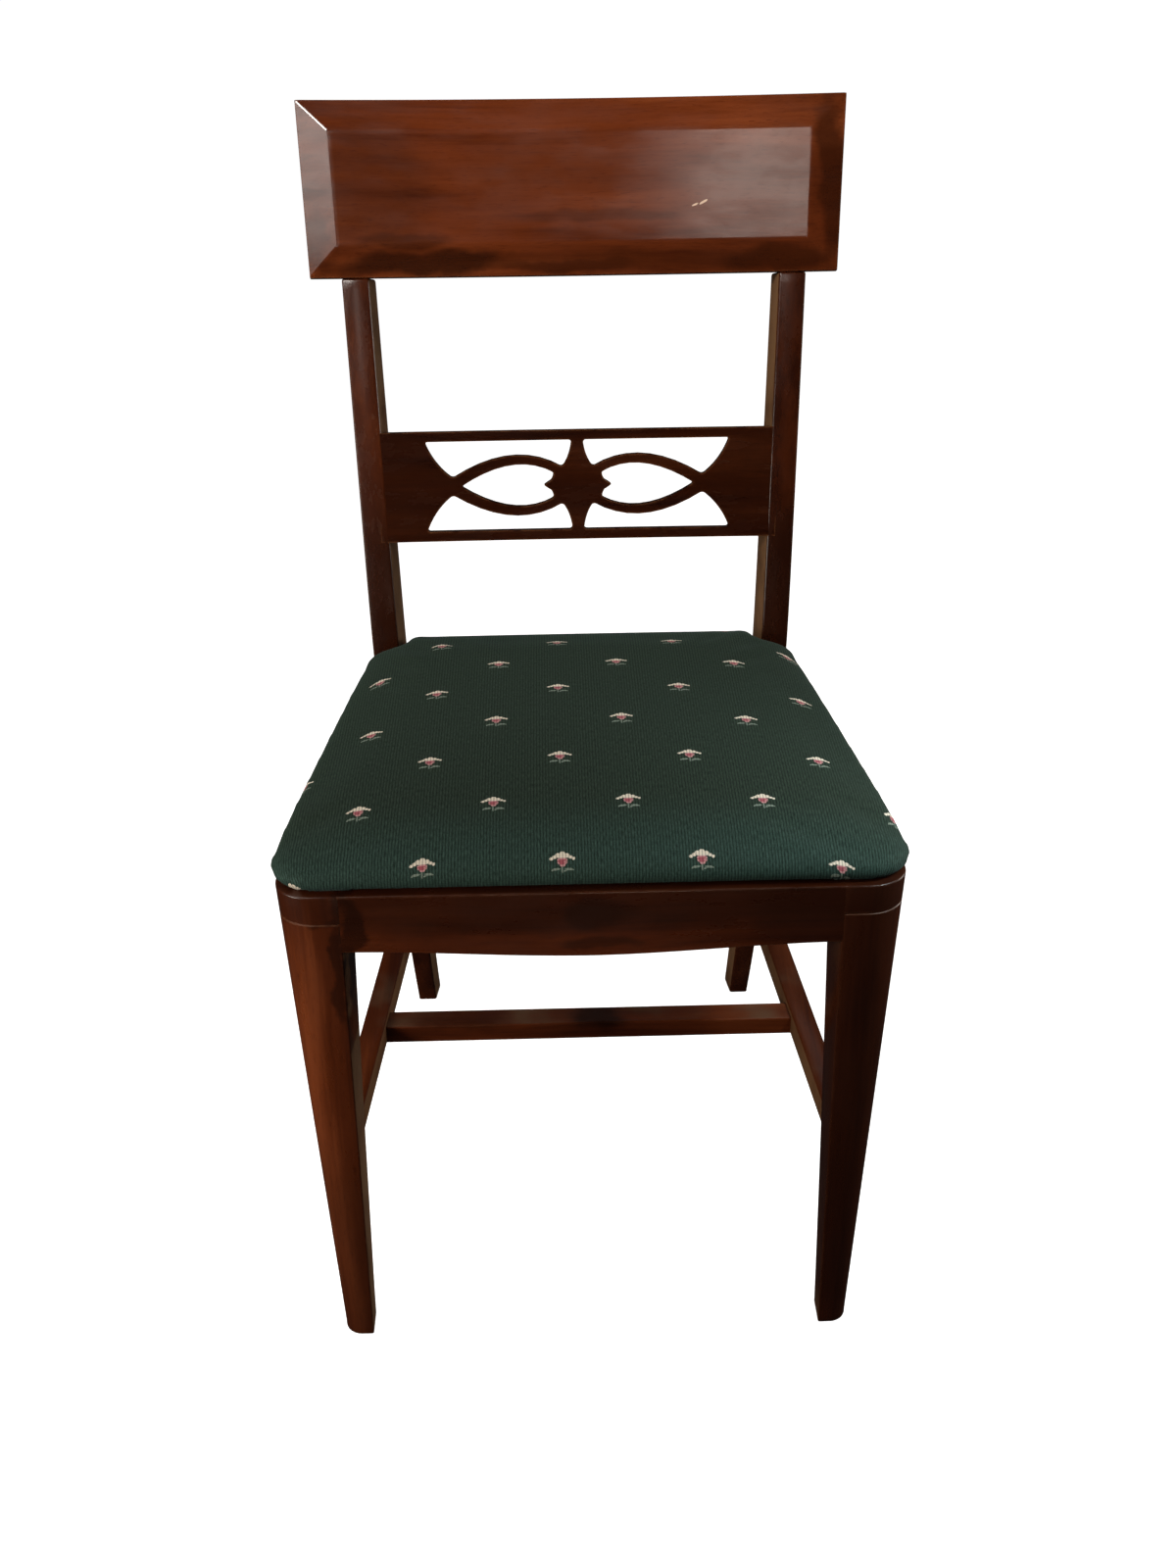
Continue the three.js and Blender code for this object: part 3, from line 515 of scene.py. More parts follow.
def buildMedialStretcher():
    (x0, y0), (x1, y1) = stretcherLine()
    front, low = rails["medialFront"], rails["stretcherTop"] - rails["stretcherHeight"]
    middle = mix(x0, x1, (front - y0) / (y1 - y0))
    reach = middle - rails["stretcherWidth"] / 2 + chair["joint"] / 2
    bar = addBlock("medial_stretcher_wood", place(-reach, front, low),
                   place(reach, front + rails["medialDepth"], low + rails["medialHeight"]))
    roundEdges(bar, rails["stretcherEdge"])
    return bar


# The seat: a fabric cover over foam, turned in under a board

seat = {
    "front": 2.5, "overhang": 3.5, "bow": 3, "postGap": 2.2, "rearReach": 31.5, "low": 443.4,
    "edgeHeight": 20, "height": 38, "crownPower": 2.3,
    "frontCorner": 38, "sideCorner": 8, "notchCorner": 6, "rearCorner": 13, "topEdge": 8, "tuck": 9.5,
    "roll": 45, "rollPower": 2, "frontRoll": 0.06, "rearRoll": 0.85, "rollStart": 150, "rollRun": 190,
    "cornerDrop": 7, "cornerReach": 75,  # the front corners sink a little
    "voxel": 5, "pressure": 4, "frames": 20, "heldBase": 2, "heldHeight": 12,
    "cap": 5, "share": 0.5,  # the furthest a point may swell, and the share of it that stays
    "smoothing": 3, "flatBase": 1.2, "cover": 1.4, "lip": 24,
    "boardTop": 457.6, "foamInset": 14, "foamRim": 3.5, "foamHeight": 28,
}


def seatHalf(y):
    return frontHalf + seat["overhang"] - chair["sideSlope"] * y


def gapTo(spot, a, b):
    run = b - a
    return (spot - a - run * clamp((spot - a).dot(run) / run.length_squared)).length


def shapeSeat(name, inset, low, rim, height):
    front, step = seat["front"] + inset, chair["seatDepth"] - 2 * seat["postGap"] - inset
    half, reach = seatHalf(front) - inset, seat["rearReach"] + 2 * seat["postGap"]
    notch = rearLeg["half"] - rearLeg["width"] - seat["postGap"] - inset
    pad = addBlock(name, place(-half, front, low), place(half, step, rim))
    openMesh(pad)
    backY = place(0, step - 0.01, 0).y
    pick(pad, "VERT", lambda vert: vert.co.y > backY)
    bpy.ops.transform.resize(value=((seatHalf(step) - inset) / half, 1, 1),
                             center_override=place(0, step, low))
    cutAcross(pad, [place(x, 0, 0) for x in (-notch, notch)], (1, 0, 0))
    pick(pad, "FACE", lambda face: face.normal.y > 0.9 and abs(middleOf(face).x) < 0.01)
    bpy.ops.mesh.extrude_region_move(TRANSFORM_OT_translate={"value": mm(0, reach, 0)})
    narrow = (notch - chair["sideSlope"] * reach) / notch
    bpy.ops.transform.resize(value=(narrow, 1, 1), center_override=place(0, step + reach, low))
    atStep = lambda y: abs(y - place(0, step, 0).y) < 0.002
    corners = (("frontCorner", lambda x, y: y < place(0, front + 1, 0).y and x > 0.2),
               ("sideCorner", lambda x, y: atStep(y) and x > (notch + 5) / 1000),
               ("notchCorner", lambda x, y: atStep(y) and 0.1 < x < (notch + 5) / 1000),
               ("rearCorner", lambda x, y: y > place(0, step + reach - 1, 0).y))
    for size, where in corners:
        pick(pad, "EDGE", lambda edge: abs(along(edge).z) > 0.9 and edge.calc_face_angle(0) > 0.5
             and where(abs(middleOf(edge).x), middleOf(edge).y))
        bpy.ops.mesh.bevel(offset=(seat[size] - inset / 2) / 1000, segments=6)
    for level, size in ((rim, seat["topEdge"]), (low, seat["tuck"])):
        pick(pad, "EDGE", lambda edge: all(isAt(vert.co.z, level) for vert in edge.verts)
             and edge.calc_face_angle(0) > 0.5)
        bpy.ops.mesh.bevel(offset=min(size, (rim - low) * 0.45) / 1000, segments=4)
    faceOut(pad)
    closeMesh()
    applyModifier(pad, "REMESH", mode="VOXEL", voxel_size=seat["voxel"] / 1000)
    halfDepth, back = (step + reach - front) / 2, step + reach
    ends = (0, front), (half, front), (seatHalf(back) - inset, back), (0, back)
    outline = [Vector(spot) for spot in ends]
    for vert in pad.data.vertices:
        x, y = abs(vert.co.x) * 1000, (vert.co.y - frontPlane) * 1000
        fromFront, fromSide = y - front, seatHalf(y) - inset - x
        crown = 1
        for deep in (fromFront, back - y, fromSide):
            crown *= 1 - (1 - clamp(deep / halfDepth)) ** seat["crownPower"]
        edge = min(gapTo(Vector((x, y)), *line) for line in zip(outline, outline[1:]))
        rolled = 1 - (1 - min(edge / seat["roll"], 1)) ** seat["rollPower"]
        rearward = ease((y - seat["rollStart"]) / seat["rollRun"])
        lift = mix(crown, rolled, mix(seat["frontRoll"], seat["rearRoll"], rearward))
        corner = 1
        for deep in (fromFront, fromSide):
            corner *= max(0, 1 - deep / seat["cornerReach"])
        rise = clamp((vert.co.z * 1000 - low) / (rim - low))
        vert.co.z += ((low + height - rim) * lift - seat["cornerDrop"] * corner) / 1000 * rise
        vert.co.x *= 1 + seat["bow"] * (1 - ((y - front) / halfDepth - 1) ** 2) / seatHalf(y)
    return pad


def inflate(pad):
    before = [vert.co.copy() for vert in pad.data.vertices]
    held, low = pad.vertex_groups.new(name="held"), seat["low"] / 1000
    for vert in pad.data.vertices:
        grip = 1 - (vert.co.z - low - seat["heldBase"] / 1000) / (seat["heldHeight"] / 1000)
        held.add([vert.index], clamp(grip), "REPLACE")
    choose(pad)
    soft = pad.modifiers.new("Cloth", "CLOTH")
    soft.settings.use_pressure = True
    soft.settings.uniform_pressure_force = seat["pressure"]
    soft.settings.effector_weights.gravity = 0
    soft.settings.vertex_group_mass = "held"
    scene = bpy.context.scene
    for number in range(1, seat["frames"] + 1):
        scene.frame_set(number)
    bpy.ops.object.modifier_apply(modifier=soft.name)
    scene.frame_set(1)
    cap = seat["cap"] / 1000
    for vert, start in zip(pad.data.vertices, before):
        move = vert.co - start
        if move.length > cap:
            move = move.normalized() * cap
        vert.co = start + move * seat["share"]


def buildSeatCover():
    low = seat["low"]
    cover = shapeSeat("seat_cover_cloth", 0, low, low + seat["edgeHeight"], seat["height"])
    inflate(cover)
    applyModifier(cover, "SMOOTH", factor=0.5, iterations=seat["smoothing"])
    applyModifier(cover, "SUBSURF", levels=1, render_levels=1)
    for vert in cover.data.vertices:
        if vert.co.z < (low + seat["flatBase"]) / 1000:
            vert.co.z = low / 1000
    return cover


def buildFoam():
    low, inset = seat["boardTop"], seat["foamInset"]
    foam = shapeSeat("seat_foam", inset, low, low + seat["foamRim"], seat["low"] + seat["foamHeight"] - low)
    for vert in foam.data.vertices:
        vert.co.z = max(vert.co.z, low / 1000)
    return foam


def openUnderside(cover):
    lip = seat["lip"] / 1000
    openMesh(cover)
    backY, frontY = place(0, chair["seatDepth"] + seat["rearReach"], 0).y, place(0, seat["front"], 0).y

    def inside(face):
        spot = middleOf(face)
        side = seatHalf((spot.y - frontPlane) * 1000) / 1000 - abs(spot.x)
        return face.normal.z < -0.9 and min(side, spot.y - frontY, backY - spot.y) > lip
    pick(cover, "FACE", inside)
    bpy.ops.mesh.delete(type="FACE")
    closeMesh()
    applyModifier(cover, "SOLIDIFY", thickness=seat["cover"] / 1000, offset=-1, use_rim=True)


def layPattern(cover):
    top = seat["low"] + seat["height"]
    layer = cover.data.uv_layers.new(name="Cloth")
    spots = []
    for vert in cover.data.vertices:
        fall = max(top - vert.co.z * 1000 - cloth["flatDrop"], 0) * cloth["rollShare"]
        flat = Vector((vert.normal.x, vert.normal.y))
        outward = flat.normalized() * fall / 1000 if flat.length > 0.02 else Vector((0, 0))
        depth, side = (vert.co.y - frontPlane) * 1000, abs(vert.co.x) * 1000 / cloth["pullAt"]
        backward = max(0, (depth - cloth["backStart"]) / cloth["backRun"])
        pull = cloth["backPull"] * backward ** cloth["backPower"]
        rear, fore = ease(depth / cloth["sideStart"] - 1), clamp(1 - depth / cloth["frontRun"])
        pull += cloth["sidePull"] * min(side, cloth["sideCap"]) ** 4 * rear
        pull += cloth["frontPull"] * min(side, cloth["frontCap"]) ** 4 * fore
        spots.append((vert.co.x + outward.x, vert.co.y - frontPlane + outward.y + pull / 1000))
    for loop in cover.data.loops:
        layer.data[loop.index].uv = spots[loop.vertex_index]


# Materials

def addGroup(name, inputs, masks=("Mask",), colours=()):
    group = bpy.data.node_groups.new(name, "ShaderNodeTree")
    kinds = {3: "NodeSocketVector", 4: "NodeSocketColor"}
    addSocket = group.interface.new_socket
    for label, value in inputs.items():
        kind = kinds[len(value)] if isinstance(value, tuple) else "NodeSocketFloat"
        addSocket(name=label, in_out="INPUT", socket_type=kind).default_value = value
    for labels, kind in ((colours, "NodeSocketColor"), (masks, "NodeSocketFloat")):
        for label in labels:
            addSocket(name=label, in_out="OUTPUT", socket_type=kind)
    return group, group.nodes.new("NodeGroupInput").outputs, group.nodes.new("NodeGroupOutput")


def feed(tree, item, inputs):
    for key, value in inputs.items():
        if isinstance(value, bpy.types.NodeSocket):
            tree.links.new(value, item.inputs[key])
        else:
            item.inputs[key].default_value = value
    return item


def node(tree, kind, inputs=None, **settings):
    item = tree.nodes.new("ShaderNode" + kind)
    for key, value in settings.items():
        setattr(item, key, value)
    return feed(tree, item, inputs or {})


def useGroup(tree, group, **values):
    return node(tree, "Group", values, node_tree=group).outputs


def sums(tree, operation, *values):
    return node(tree, "Math", dict(enumerate(values)), operation=operation).outputs[0]


def plus(tree, a, b):
    return sums(tree, "ADD", a, b)


def minus(tree, a, b):
    return sums(tree, "SUBTRACT", a, b)


def times(tree, a, b):
    return sums(tree, "MULTIPLY", a, b)


def vectors(tree, operation, *values):
    item = node(tree, "VectorMath", dict(enumerate(values)), operation=operation)
    return item.outputs["Value" if operation in ("LENGTH", "DOT_PRODUCT") else "Vector"]


def stretch(tree, vector, x, y, z):
    return vectors(tree, "MULTIPLY", vector, (x, y, z))


def axis(tree, vector, letter):
    return node(tree, "SeparateXYZ", {0: vector}).outputs[letter]


def objectSpots(tree):
    return node(tree, "TexCoord").outputs["Object"]


def faceNormal(tree):
    return node(tree, "NewGeometry").outputs["Normal"]


def fit(tree, value, low, high, newLow=0, newHigh=1):
    return node(tree, "MapRange", {"Value": value, "From Min": low, "From Max": high, "To Min": newLow,
                                   "To Max": newHigh}, interpolation_type="SMOOTHSTEP").outputs["Result"]


def blend(tree, share, first, second, mode="MIX"):
    return node(tree, "Mix", {0: share, 6: first, 7: second}, data_type="RGBA", blend_type=mode,
                clamp_factor=True).outputs[2]


def noise(tree, vector, scale, detail=2, roughness=0.5, distortion=0, output="Fac"):
    return node(tree, "TexNoise", {"Vector": vector, "Scale": scale, "Detail": detail, "Roughness": roughness,
                                   "Distortion": distortion}).outputs[output]


def bumps(tree, height, strength, distance):
    return node(tree, "Bump", {"Height": height, "Strength": strength, "Distance": distance}).outputs[0]


def makeGrain():
    group, given, out = addGroup(
        "mahogany grain",
        {"Vector": (0.0, 0.0, 0.0), "Dark": (0.02, 0.005, 0.002, 1.0), "Middle": (0.1, 0.03, 0.01, 1.0),
         "Light": (0.2, 0.07, 0.02, 1.0), "Figure": 1.0, "Pores": 1.0},
        ("Height", "Shine"), ("Color",))
    plain = given["Vector"]
    drift = stretch(group, noise(group, plain, 5, 1, output="Color"), 0, 0.012, 0.012)
    waved = vectors(group, "ADD", plain, drift)
    cloud = noise(group, stretch(group, waved, 2, 9, 9), 1.6, 2, 0.5, 0.4)
    ribbon = noise(group, stretch(group, waved, 3, 70, 70), 1, 3, 0.55)
    fibre = noise(group, stretch(group, waved, 14, 420, 420), 1, 3, 0.6)
    pores = fit(group, noise(group, stretch(group, plain, 90, 1500, 1500), 1, 1), 0.6, 0.72)
    fine = plus(group, times(group, ribbon, 0.34), times(group, fibre, 0.16))
    tone = plus(group, times(group, cloud, 0.5), fine)
    tone = plus(group, times(group, minus(group, tone, 0.5), given["Figure"]), 0.5)
    warm = blend(group, fit(group, tone, 0.36, 0.52), given["Dark"], given["Middle"])
    warm = blend(group, fit(group, tone, 0.5, 0.66), warm, given["Light"])
    pitted = times(group, pores, given["Pores"])
    patches = noise(group, stretch(group, plain, 0.5, 1.5, 1.5), 30, 5, 0.65)
    feed(group, out, {
        "Color": blend(group, times(group, pitted, 0.45), warm, given["Dark"]),
        "Height": minus(group, times(group, fibre, 0.35), times(group, pitted, 0.15)),
        "Shine": fit(group, patches, 0.2, 0.8)})
    return group


def makeEdgeWear():
    group, given, out = addGroup("worn edges", {"Radius": 0.003, "Breakup": 90.0, "Amount": 1.0})
    rounded = node(group, "Bevel", {"Radius": given["Radius"]}, samples=6).outputs["Normal"]
    edge = fit(group, minus(group, 1, vectors(group, "DOT_PRODUCT", rounded, faceNormal(group))), 0.01, 0.09)
    spots = noise(group, objectSpots(group), given["Breakup"], 4, 0.6)
    broken = fit(group, plus(group, spots, times(group, edge, 0.25)), 0.6, 0.74)
    feed(group, out, {"Mask": times(group, times(group, edge, broken), given["Amount"])})
    return group


def makeDryFaces():
    group, given, out = addGroup("dry inner faces", {"Scale": 16.0})
    spots = objectSpots(group)
    side = sums(group, "SIGN", axis(group, spots, "X"))
    across = times(group, axis(group, faceNormal(group), "X"), times(group, side, -1))
    patches = fit(group, noise(group, spots, given["Scale"], 4, 0.6), 0.3, 0.55, 0.45, 1)
    feed(group, out, {"Mask": times(group, fit(group, across, 0.75, 0.95), patches)})
    return group


def makeDust():
    group, given, out = addGroup("settled dust", {"Scale": 14.0, "Cover": 0.5})
    spots = objectSpots(group)
    up = fit(group, axis(group, faceNormal(group), "Z"), 0.75, 0.97)
    bare = minus(group, 0.62, times(group, given["Cover"], 0.3))
    patches = fit(group, noise(group, spots, given["Scale"], 3, 0.55), bare, 0.68)
    specks = fit(group, noise(group, spots, 900, 2), 0.35, 0.6, 0.75, 1)
    feed(group, out, {"Mask": times(group, times(group, up, patches), specks)})
    return group


# A ragged band between two heights, used to paint shade into the wood's colour
def makeBand():
    group, given, out = addGroup("painted shade band", {"Low": 0.0, "High": 1.0, "Soft": 0.004})
    low, high, soft = (given[label] for label in ("Low", "High", "Soft"))
    spots = objectSpots(group)
    ragged = times(group, minus(group, noise(group, spots, 30, 4, 0.6), 0.5), 0.02)
    height = plus(group, axis(group, spots, "Z"), ragged)
    above = fit(group, height, minus(group, low, soft), plus(group, low, soft))
    below = fit(group, height, plus(group, high, soft), minus(group, high, soft))
    feed(group, out, {"Mask": times(group, above, below)})
    return group


# Dark patches: real stains, and on some pieces painted shade
def makeStainAndShade():
    group, given, out = addGroup("dark stain and painted shade", {"Centre": (0.0, 0.0, 0.0), "Size": (1.0, 1.0, 1.0)})
    spots = objectSpots(group)
    drift = vectors(group, "SUBTRACT", noise(group, spots, 26, 4, output="Color"), (0.5, 0.5, 0.5))
    moved = vectors(group, "ADD", spots, stretch(group, drift, 0.05, 0, 0.02))
    laid = node(group, "Mapping", {"Vector": moved, "Location": given["Centre"], "Scale": given["Size"]},
                vector_type="TEXTURE").outputs[0]
    far = vectors(group, "LENGTH", stretch(group, laid, 1, 0, 1))
    feed(group, out, {"Mask": fit(group, far, 1.25, 0.6)})
    return group


def makePetal():
    group, given, out = addGroup("petal", {"Vector": (0.0, 0.0, 0.0), "Centre": (0.0, 0.0, 0.0),
                                           "Turn": (0.0, 0.0, 0.0), "Size": (1.0, 1.0, 1.0)})
    laid = node(group, "Mapping", {"Vector": given["Vector"], "Location": given["Centre"],
                                   "Rotation": given["Turn"], "Scale": given["Size"]},
                vector_type="TEXTURE").outputs[0]
    feed(group, out, {"Mask": fit(group, vectors(group, "LENGTH", laid), 1.06, 0.9)})
    return group


grainGroup, wearGroup, dryGroup, dustGroup = makeGrain(), makeEdgeWear(), makeDryFaces(), makeDust()
bandGroup, stainAndShadeGroup, petalGroup = makeBand(), makeStainAndShade(), makePetal()


def startMaterial(name):
    material = bpy.data.materials.new(name)
    material.use_nodes = True
    tree = material.node_tree
    tree.nodes.clear()
    shader = node(tree, "BsdfPrincipled")
    node(tree, "OutputMaterial", {0: shader.outputs[0]})
    return material, tree, shader


woodTones = {
    "Dark": (0.036, 0.0062, 0.0014, 1), "Middle": (0.085, 0.0165, 0.0036, 1),
    "Light": (0.15, 0.034, 0.009, 1), "bare": (0.26, 0.10, 0.036, 1), "dust": (0.11, 0.082, 0.05, 1),
    # the darkest colour serves real stains and painted shade alike
    "dry": (0.19, 0.098, 0.043, 1), "stainAndShade": (0.016, 0.0035, 0.001, 1), "nick": (0.6, 0.42, 0.29, 1),
}
shadedPatch = (300, 332)  # between these heights the pale film on the legs' inner faces is left off, so they show darker: painted shade at the stretchers' joints
grainTurns = {"across": (0, 0, 0), "back": (0, 0, -math.pi / 2), "upright": (0, math.pi / 2, 0)}


def turnGrain(tree, direction):
    return node(tree, "Mapping", {"Vector": objectSpots(tree), "Rotation": grainTurns[direction]}).outputs[0]


def makeMahogany(name, direction, tint=1.0, dusty=0.0, dry=0.0, gloss=0.30, figure=1.0, stained=0.6,
                 shine=0.35, bands=(), stainsAndShade=(), nicks=()):
    material, tree, shader = startMaterial(name)
    turned = turnGrain(tree, direction)
    tones = {key: tuple(value * tint for value in woodTones[key][:3]) + (1,)
             for key in ("Dark", "Middle", "Light")}
    grain = useGroup(tree, grainGroup, Vector=turned, Figure=figure, **tones)
    worn = useGroup(tree, wearGroup, Radius=0.003, Breakup=70.0, Amount=0.5)["Mask"]
    aged = fit(tree, noise(tree, stretch(tree, turned, 4, 11, 11), 1, 5, 0.6), 0.42, 0.85, 0, stained)
    colour = blend(tree, aged, grain["Color"], woodTones["stainAndShade"])
    # each band darkens the wood between two heights: painted shade
    for low, high, soft, amount in bands:
        shadeBand = useGroup(tree, bandGroup, Low=low / 1000, High=high / 1000, Soft=soft / 1000)["Mask"]
        colour = blend(tree, times(tree, shadeBand, amount), colour, woodTones["stainAndShade"])
    covered = 0
    for x, z, wide, high, amount in stainsAndShade:
        dark = useGroup(tree, stainAndShadeGroup, Centre=mm(x, 0, z), Size=mm(wide, 1000, high))["Mask"]
        colour = blend(tree, times(tree, dark, amount), colour, woodTones["stainAndShade"])
        covered = sums(tree, "MAXIMUM", covered, dark)
    for x, z, wide, high, turn in nicks:
        mark = useGroup(tree, petalGroup, Vector=stretch(tree, objectSpots(tree), 1, 0, 1),
                        Centre=mm(x, 0, z), Size=mm(wide, 1000, high),
                        Turn=(0, math.radians(turn), 0))["Mask"]
        colour = blend(tree, mark, colour, woodTones["nick"])
    colour = blend(tree, times(tree, worn, 0.5), colour, woodTones["bare"])
    rough = plus(tree, fit(tree, grain["Shine"], 0, 1, gloss - 0.05, gloss + 0.07), times(tree, worn, 0.2))
    for amount, group, settings, key in ((dry, dryGroup, {"Scale": 16.0}, "dry"),
                                         (dusty, dustGroup, {"Scale": 11.0, "Cover": dusty}, "dust")):
        if amount:
            film = times(tree, useGroup(tree, group, **settings)["Mask"], amount)
            if stainsAndShade:
                film = times(tree, film, minus(tree, 1, covered))
            # painted shade: the pale film is thinned between the patch's heights
            if key == "dry" and direction == "upright":
                patchLow, patchHigh = mm(*shadedPatch)
                patchShade = useGroup(tree, bandGroup, Low=patchLow, High=patchHigh)["Mask"]
                film = times(tree, film, fit(tree, patchShade, 0, 1, 1, 0.1))
            colour = blend(tree, film, colour, woodTones[key])
            rough = plus(tree, rough, times(tree, film, 0.4))
    feed(tree, shader, {
        "Base Color": colour, "Roughness": rough, "Specular IOR Level": shine, "Coat Weight": 0.12,
        "Coat Roughness": 0.14, "Normal": bumps(tree, grain["Height"], 0.3, 0.00015)})
    return material


def makePlainWood(name, dark, light):
    material, tree, shader = startMaterial(name)
    middle = tuple((a + b) / 2 for a, b in zip(dark, light))
    grain = useGroup(tree, grainGroup, Vector=turnGrain(tree, "across"), Dark=dark, Middle=middle,
                     Light=light, Pores=0.5)
    feed(tree, shader, {
        "Base Color": grain["Color"], "Roughness": fit(tree, grain["Shine"], 0, 1, 0.62, 0.8),
        "Normal": bumps(tree, grain["Height"], 0.5, 0.0003)})
    return material


def makeSteel(name):
    material, tree, shader = startMaterial(name)
    spots = noise(tree, objectSpots(tree), 800, 3)
    feed(tree, shader, {
        "Base Color": blend(tree, spots, (0.32, 0.31, 0.28, 1), (0.5, 0.48, 0.42, 1)),
        "Roughness": fit(tree, spots, 0.3, 0.7, 0.3, 0.5), "Metallic": 1})
    return material


# Fabric: a fine rib weave with small flower sprigs in a half-drop repeat

cloth = {
    "repeatX": 101.2, "repeatY": 122, "startX": -21.5, "startY": 12, "sprig": 0.86, "sprigHeight": 0.76,
    "thread": 0.55, "rib": 2.3, "pick": 1.25,
    "flatDrop": 20, "rollShare": 0.9,  # below this drop the cloth counts as running down the roll
    "pullAt": 172, "backPull": 36, "backStart": 190, "backRun": 156, "backPower": 2.1,  # drawn in at the back
    "sidePull": 20, "sideStart": 150, "sideCap": 1.1, "frontPull": 10, "frontRun": 90, "frontCap": 1.2,
    "ground": (0.0055, 0.0115, 0.0070, 1), "groundLight": (0.028, 0.0455, 0.0315, 1),
    "cream": (0.68, 0.61, 0.50, 1), "blush": (0.50, 0.25, 0.25, 1), "heart": (0.33, 0.08, 0.10, 1),
    # the last colour brightens and cools the front roll: painted light
    "leaf": (0.22, 0.27, 0.22, 1), "paintedFrontLight": (1.27, 1.55, 1.8, 1),
}
# Each petal: centre across and up, half width, half height, turn in degrees
petals = {
    "leaf": [(-5.2, -10.0, 3.7, 1.5, 10), (-8.2, -11.3, 1.5, 0.9, 45), (5.4, -10.0, 3.5, 1.5, -6),
             (2.6, -11.8, 2.0, 0.9, 42), (8.4, -10.8, 1.5, 0.9, -35), (0, -10.4, 0.75, 4.6, 0)],
    "cream": [(0.1, 6.4, 2.4, 2.5, 0), (-3.7, 4.7, 2.3, 2.4, 20), (3.9, 4.6, 2.3, 2.3, -20),
              (0, 3.4, 4.6, 1.9, 0), (-6.7, 2.9, 2.0, 1.8, 20), (6.9, 2.8, 2.0, 1.6, -16),
              (-9.2, 1.3, 1.8, 1.6, 40), (9.5, 1.5, 1.5, 1.5, -30)],
    "blush": [(0, 0.2, 4.4, 2.2, 0), (0, -2.0, 4.2, 2.8, 0), (0.2, -4.8, 2.4, 2.0, 0)],
    "heart": [(-0.6, -0.6, 3.6, 1.3, 10), (-0.2, -2.9, 2.4, 1.5, 0)],
}


def makeSprigs():
    group, given, out = addGroup(
        "flower sprigs", {"Vector": (0.0, 0.0, 0.0)}, ("Leaf", "Cream", "Blush", "Heart"))
    repeatX, repeatY = cloth["repeatX"] / 2, cloth["repeatY"]
    scaled = stretch(group, given["Vector"], 1000, 1000, 0)
    snapped = vectors(group, "SNAP", scaled, (cloth["thread"], cloth["thread"], 1))
    stepped = stretch(group, vectors(group, "SUBTRACT", scaled, snapped), 0.35, 0.35, 0)
    threads = vectors(group, "ADD", snapped, stepped)

    def count(length, step):
        return sums(group, "FLOOR", plus(group, sums(group, "DIVIDE", length, step), 0.5))
    run = minus(group, axis(group, threads, "X"), cloth["startX"])
    column = count(run, repeatX)
    across = minus(group, run, times(group, column, repeatX))
    drop = times(group, sums(group, "PINGPONG", column, 1), repeatY / 2)
    lifted = minus(group, minus(group, axis(group, threads, "Y"), cloth["startY"]), drop)
    up = minus(group, lifted, times(group, count(lifted, repeatY), repeatY))
    spot = stretch(group, node(group, "CombineXYZ", {0: across, 1: up}).outputs[0],
                   1 / cloth["sprig"], 1 / cloth["sprigHeight"], 0)
    for label, shapes in petals.items():
        mask = 0
        for x, y, wide, high, turned in shapes:
            petal = useGroup(group, petalGroup, Vector=spot, Centre=(x, y, 0), Size=(wide, high, 1),
                             Turn=(0, 0, math.radians(turned)))["Mask"]
            mask = sums(group, "MAXIMUM", mask, petal)
        feed(group, out, {label.title(): mask})
    return group


def makeWeave():
    group, given, out = addGroup("rib weave", {"Vector": (0.0, 0.0, 0.0)}, ("Height", "Tone"))
    scaled = stretch(group, given["Vector"], 1000, 1000, 0)
    drift = noise(group, scaled, 0.12, output="Color")
    wobble = vectors(group, "ADD", scaled, stretch(group, drift, 0.5, 0.5, 0))

    def ridges(letter, spacing):
        turned = times(group, axis(group, wobble, letter), math.pi / spacing)
        return sums(group, "ABSOLUTE", sums(group, "SINE", turned))
    rib, thread = ridges("X", cloth["rib"]), ridges("Y", cloth["pick"])
    streak = noise(group, stretch(group, scaled, 1.5, 0.22, 1), 1, 3, 0.6)
    slub = noise(group, stretch(group, scaled, 0.5, 2.4, 1), 1, 2, 0.5)
    tone = plus(group, times(group, streak, 0.7), times(group, slub, 0.3))
    feed(group, out, {
        "Height": plus(group, times(group, rib, 0.75), times(group, thread, 0.25)),
        "Tone": fit(group, tone, 0.3, 0.7)})
    return group


def makeFabric(name):
    material, tree, shader = startMaterial(name)
    laid = node(tree, "UVMap", uv_map="Cloth").outputs[0]
    weave = useGroup(tree, makeWeave(), Vector=laid)
    sprigs = useGroup(tree, makeSprigs(), Vector=laid)
    tone = plus(tree, times(tree, weave["Tone"], 0.7), times(tree, weave["Height"], 0.3))
    colour = blend(tree, fit(tree, tone, 0.1, 0.95), cloth["ground"], cloth["groundLight"])
    front = fit(tree, axis(tree, laid, "Y"), 0.085, 0.01)
    colour = blend(tree, front, colour, cloth["paintedFrontLight"], "MULTIPLY")  # painted light: the front roll is brightened and turned teal
    colour = blend(tree, times(tree, sprigs["Leaf"], 0.8), colour, cloth["leaf"])
    for label in ("Cream", "Blush", "Heart"):
        colour = blend(tree, sprigs[label], colour, cloth[label.lower()])
    colour = blend(tree, 1, colour, fit(tree, weave["Height"], 0, 1, 0.55, 1.25), "MULTIPLY")
    stitched = sums(tree, "MAXIMUM", sprigs["Cream"], sprigs["Blush"])
    raised = plus(tree, weave["Height"], times(tree, stitched, 0.8))
    feed(tree, shader, {
        "Base Color": colour, "Roughness": 0.78, "Specular IOR Level": 0.15, "Sheen Weight": 0.05,
        "Sheen Roughness": 0.45, "Sheen Tint": (0.55, 0.85, 0.85, 1),
        "Normal": bumps(tree, raised, 0.55, 0.0003)})
    return material


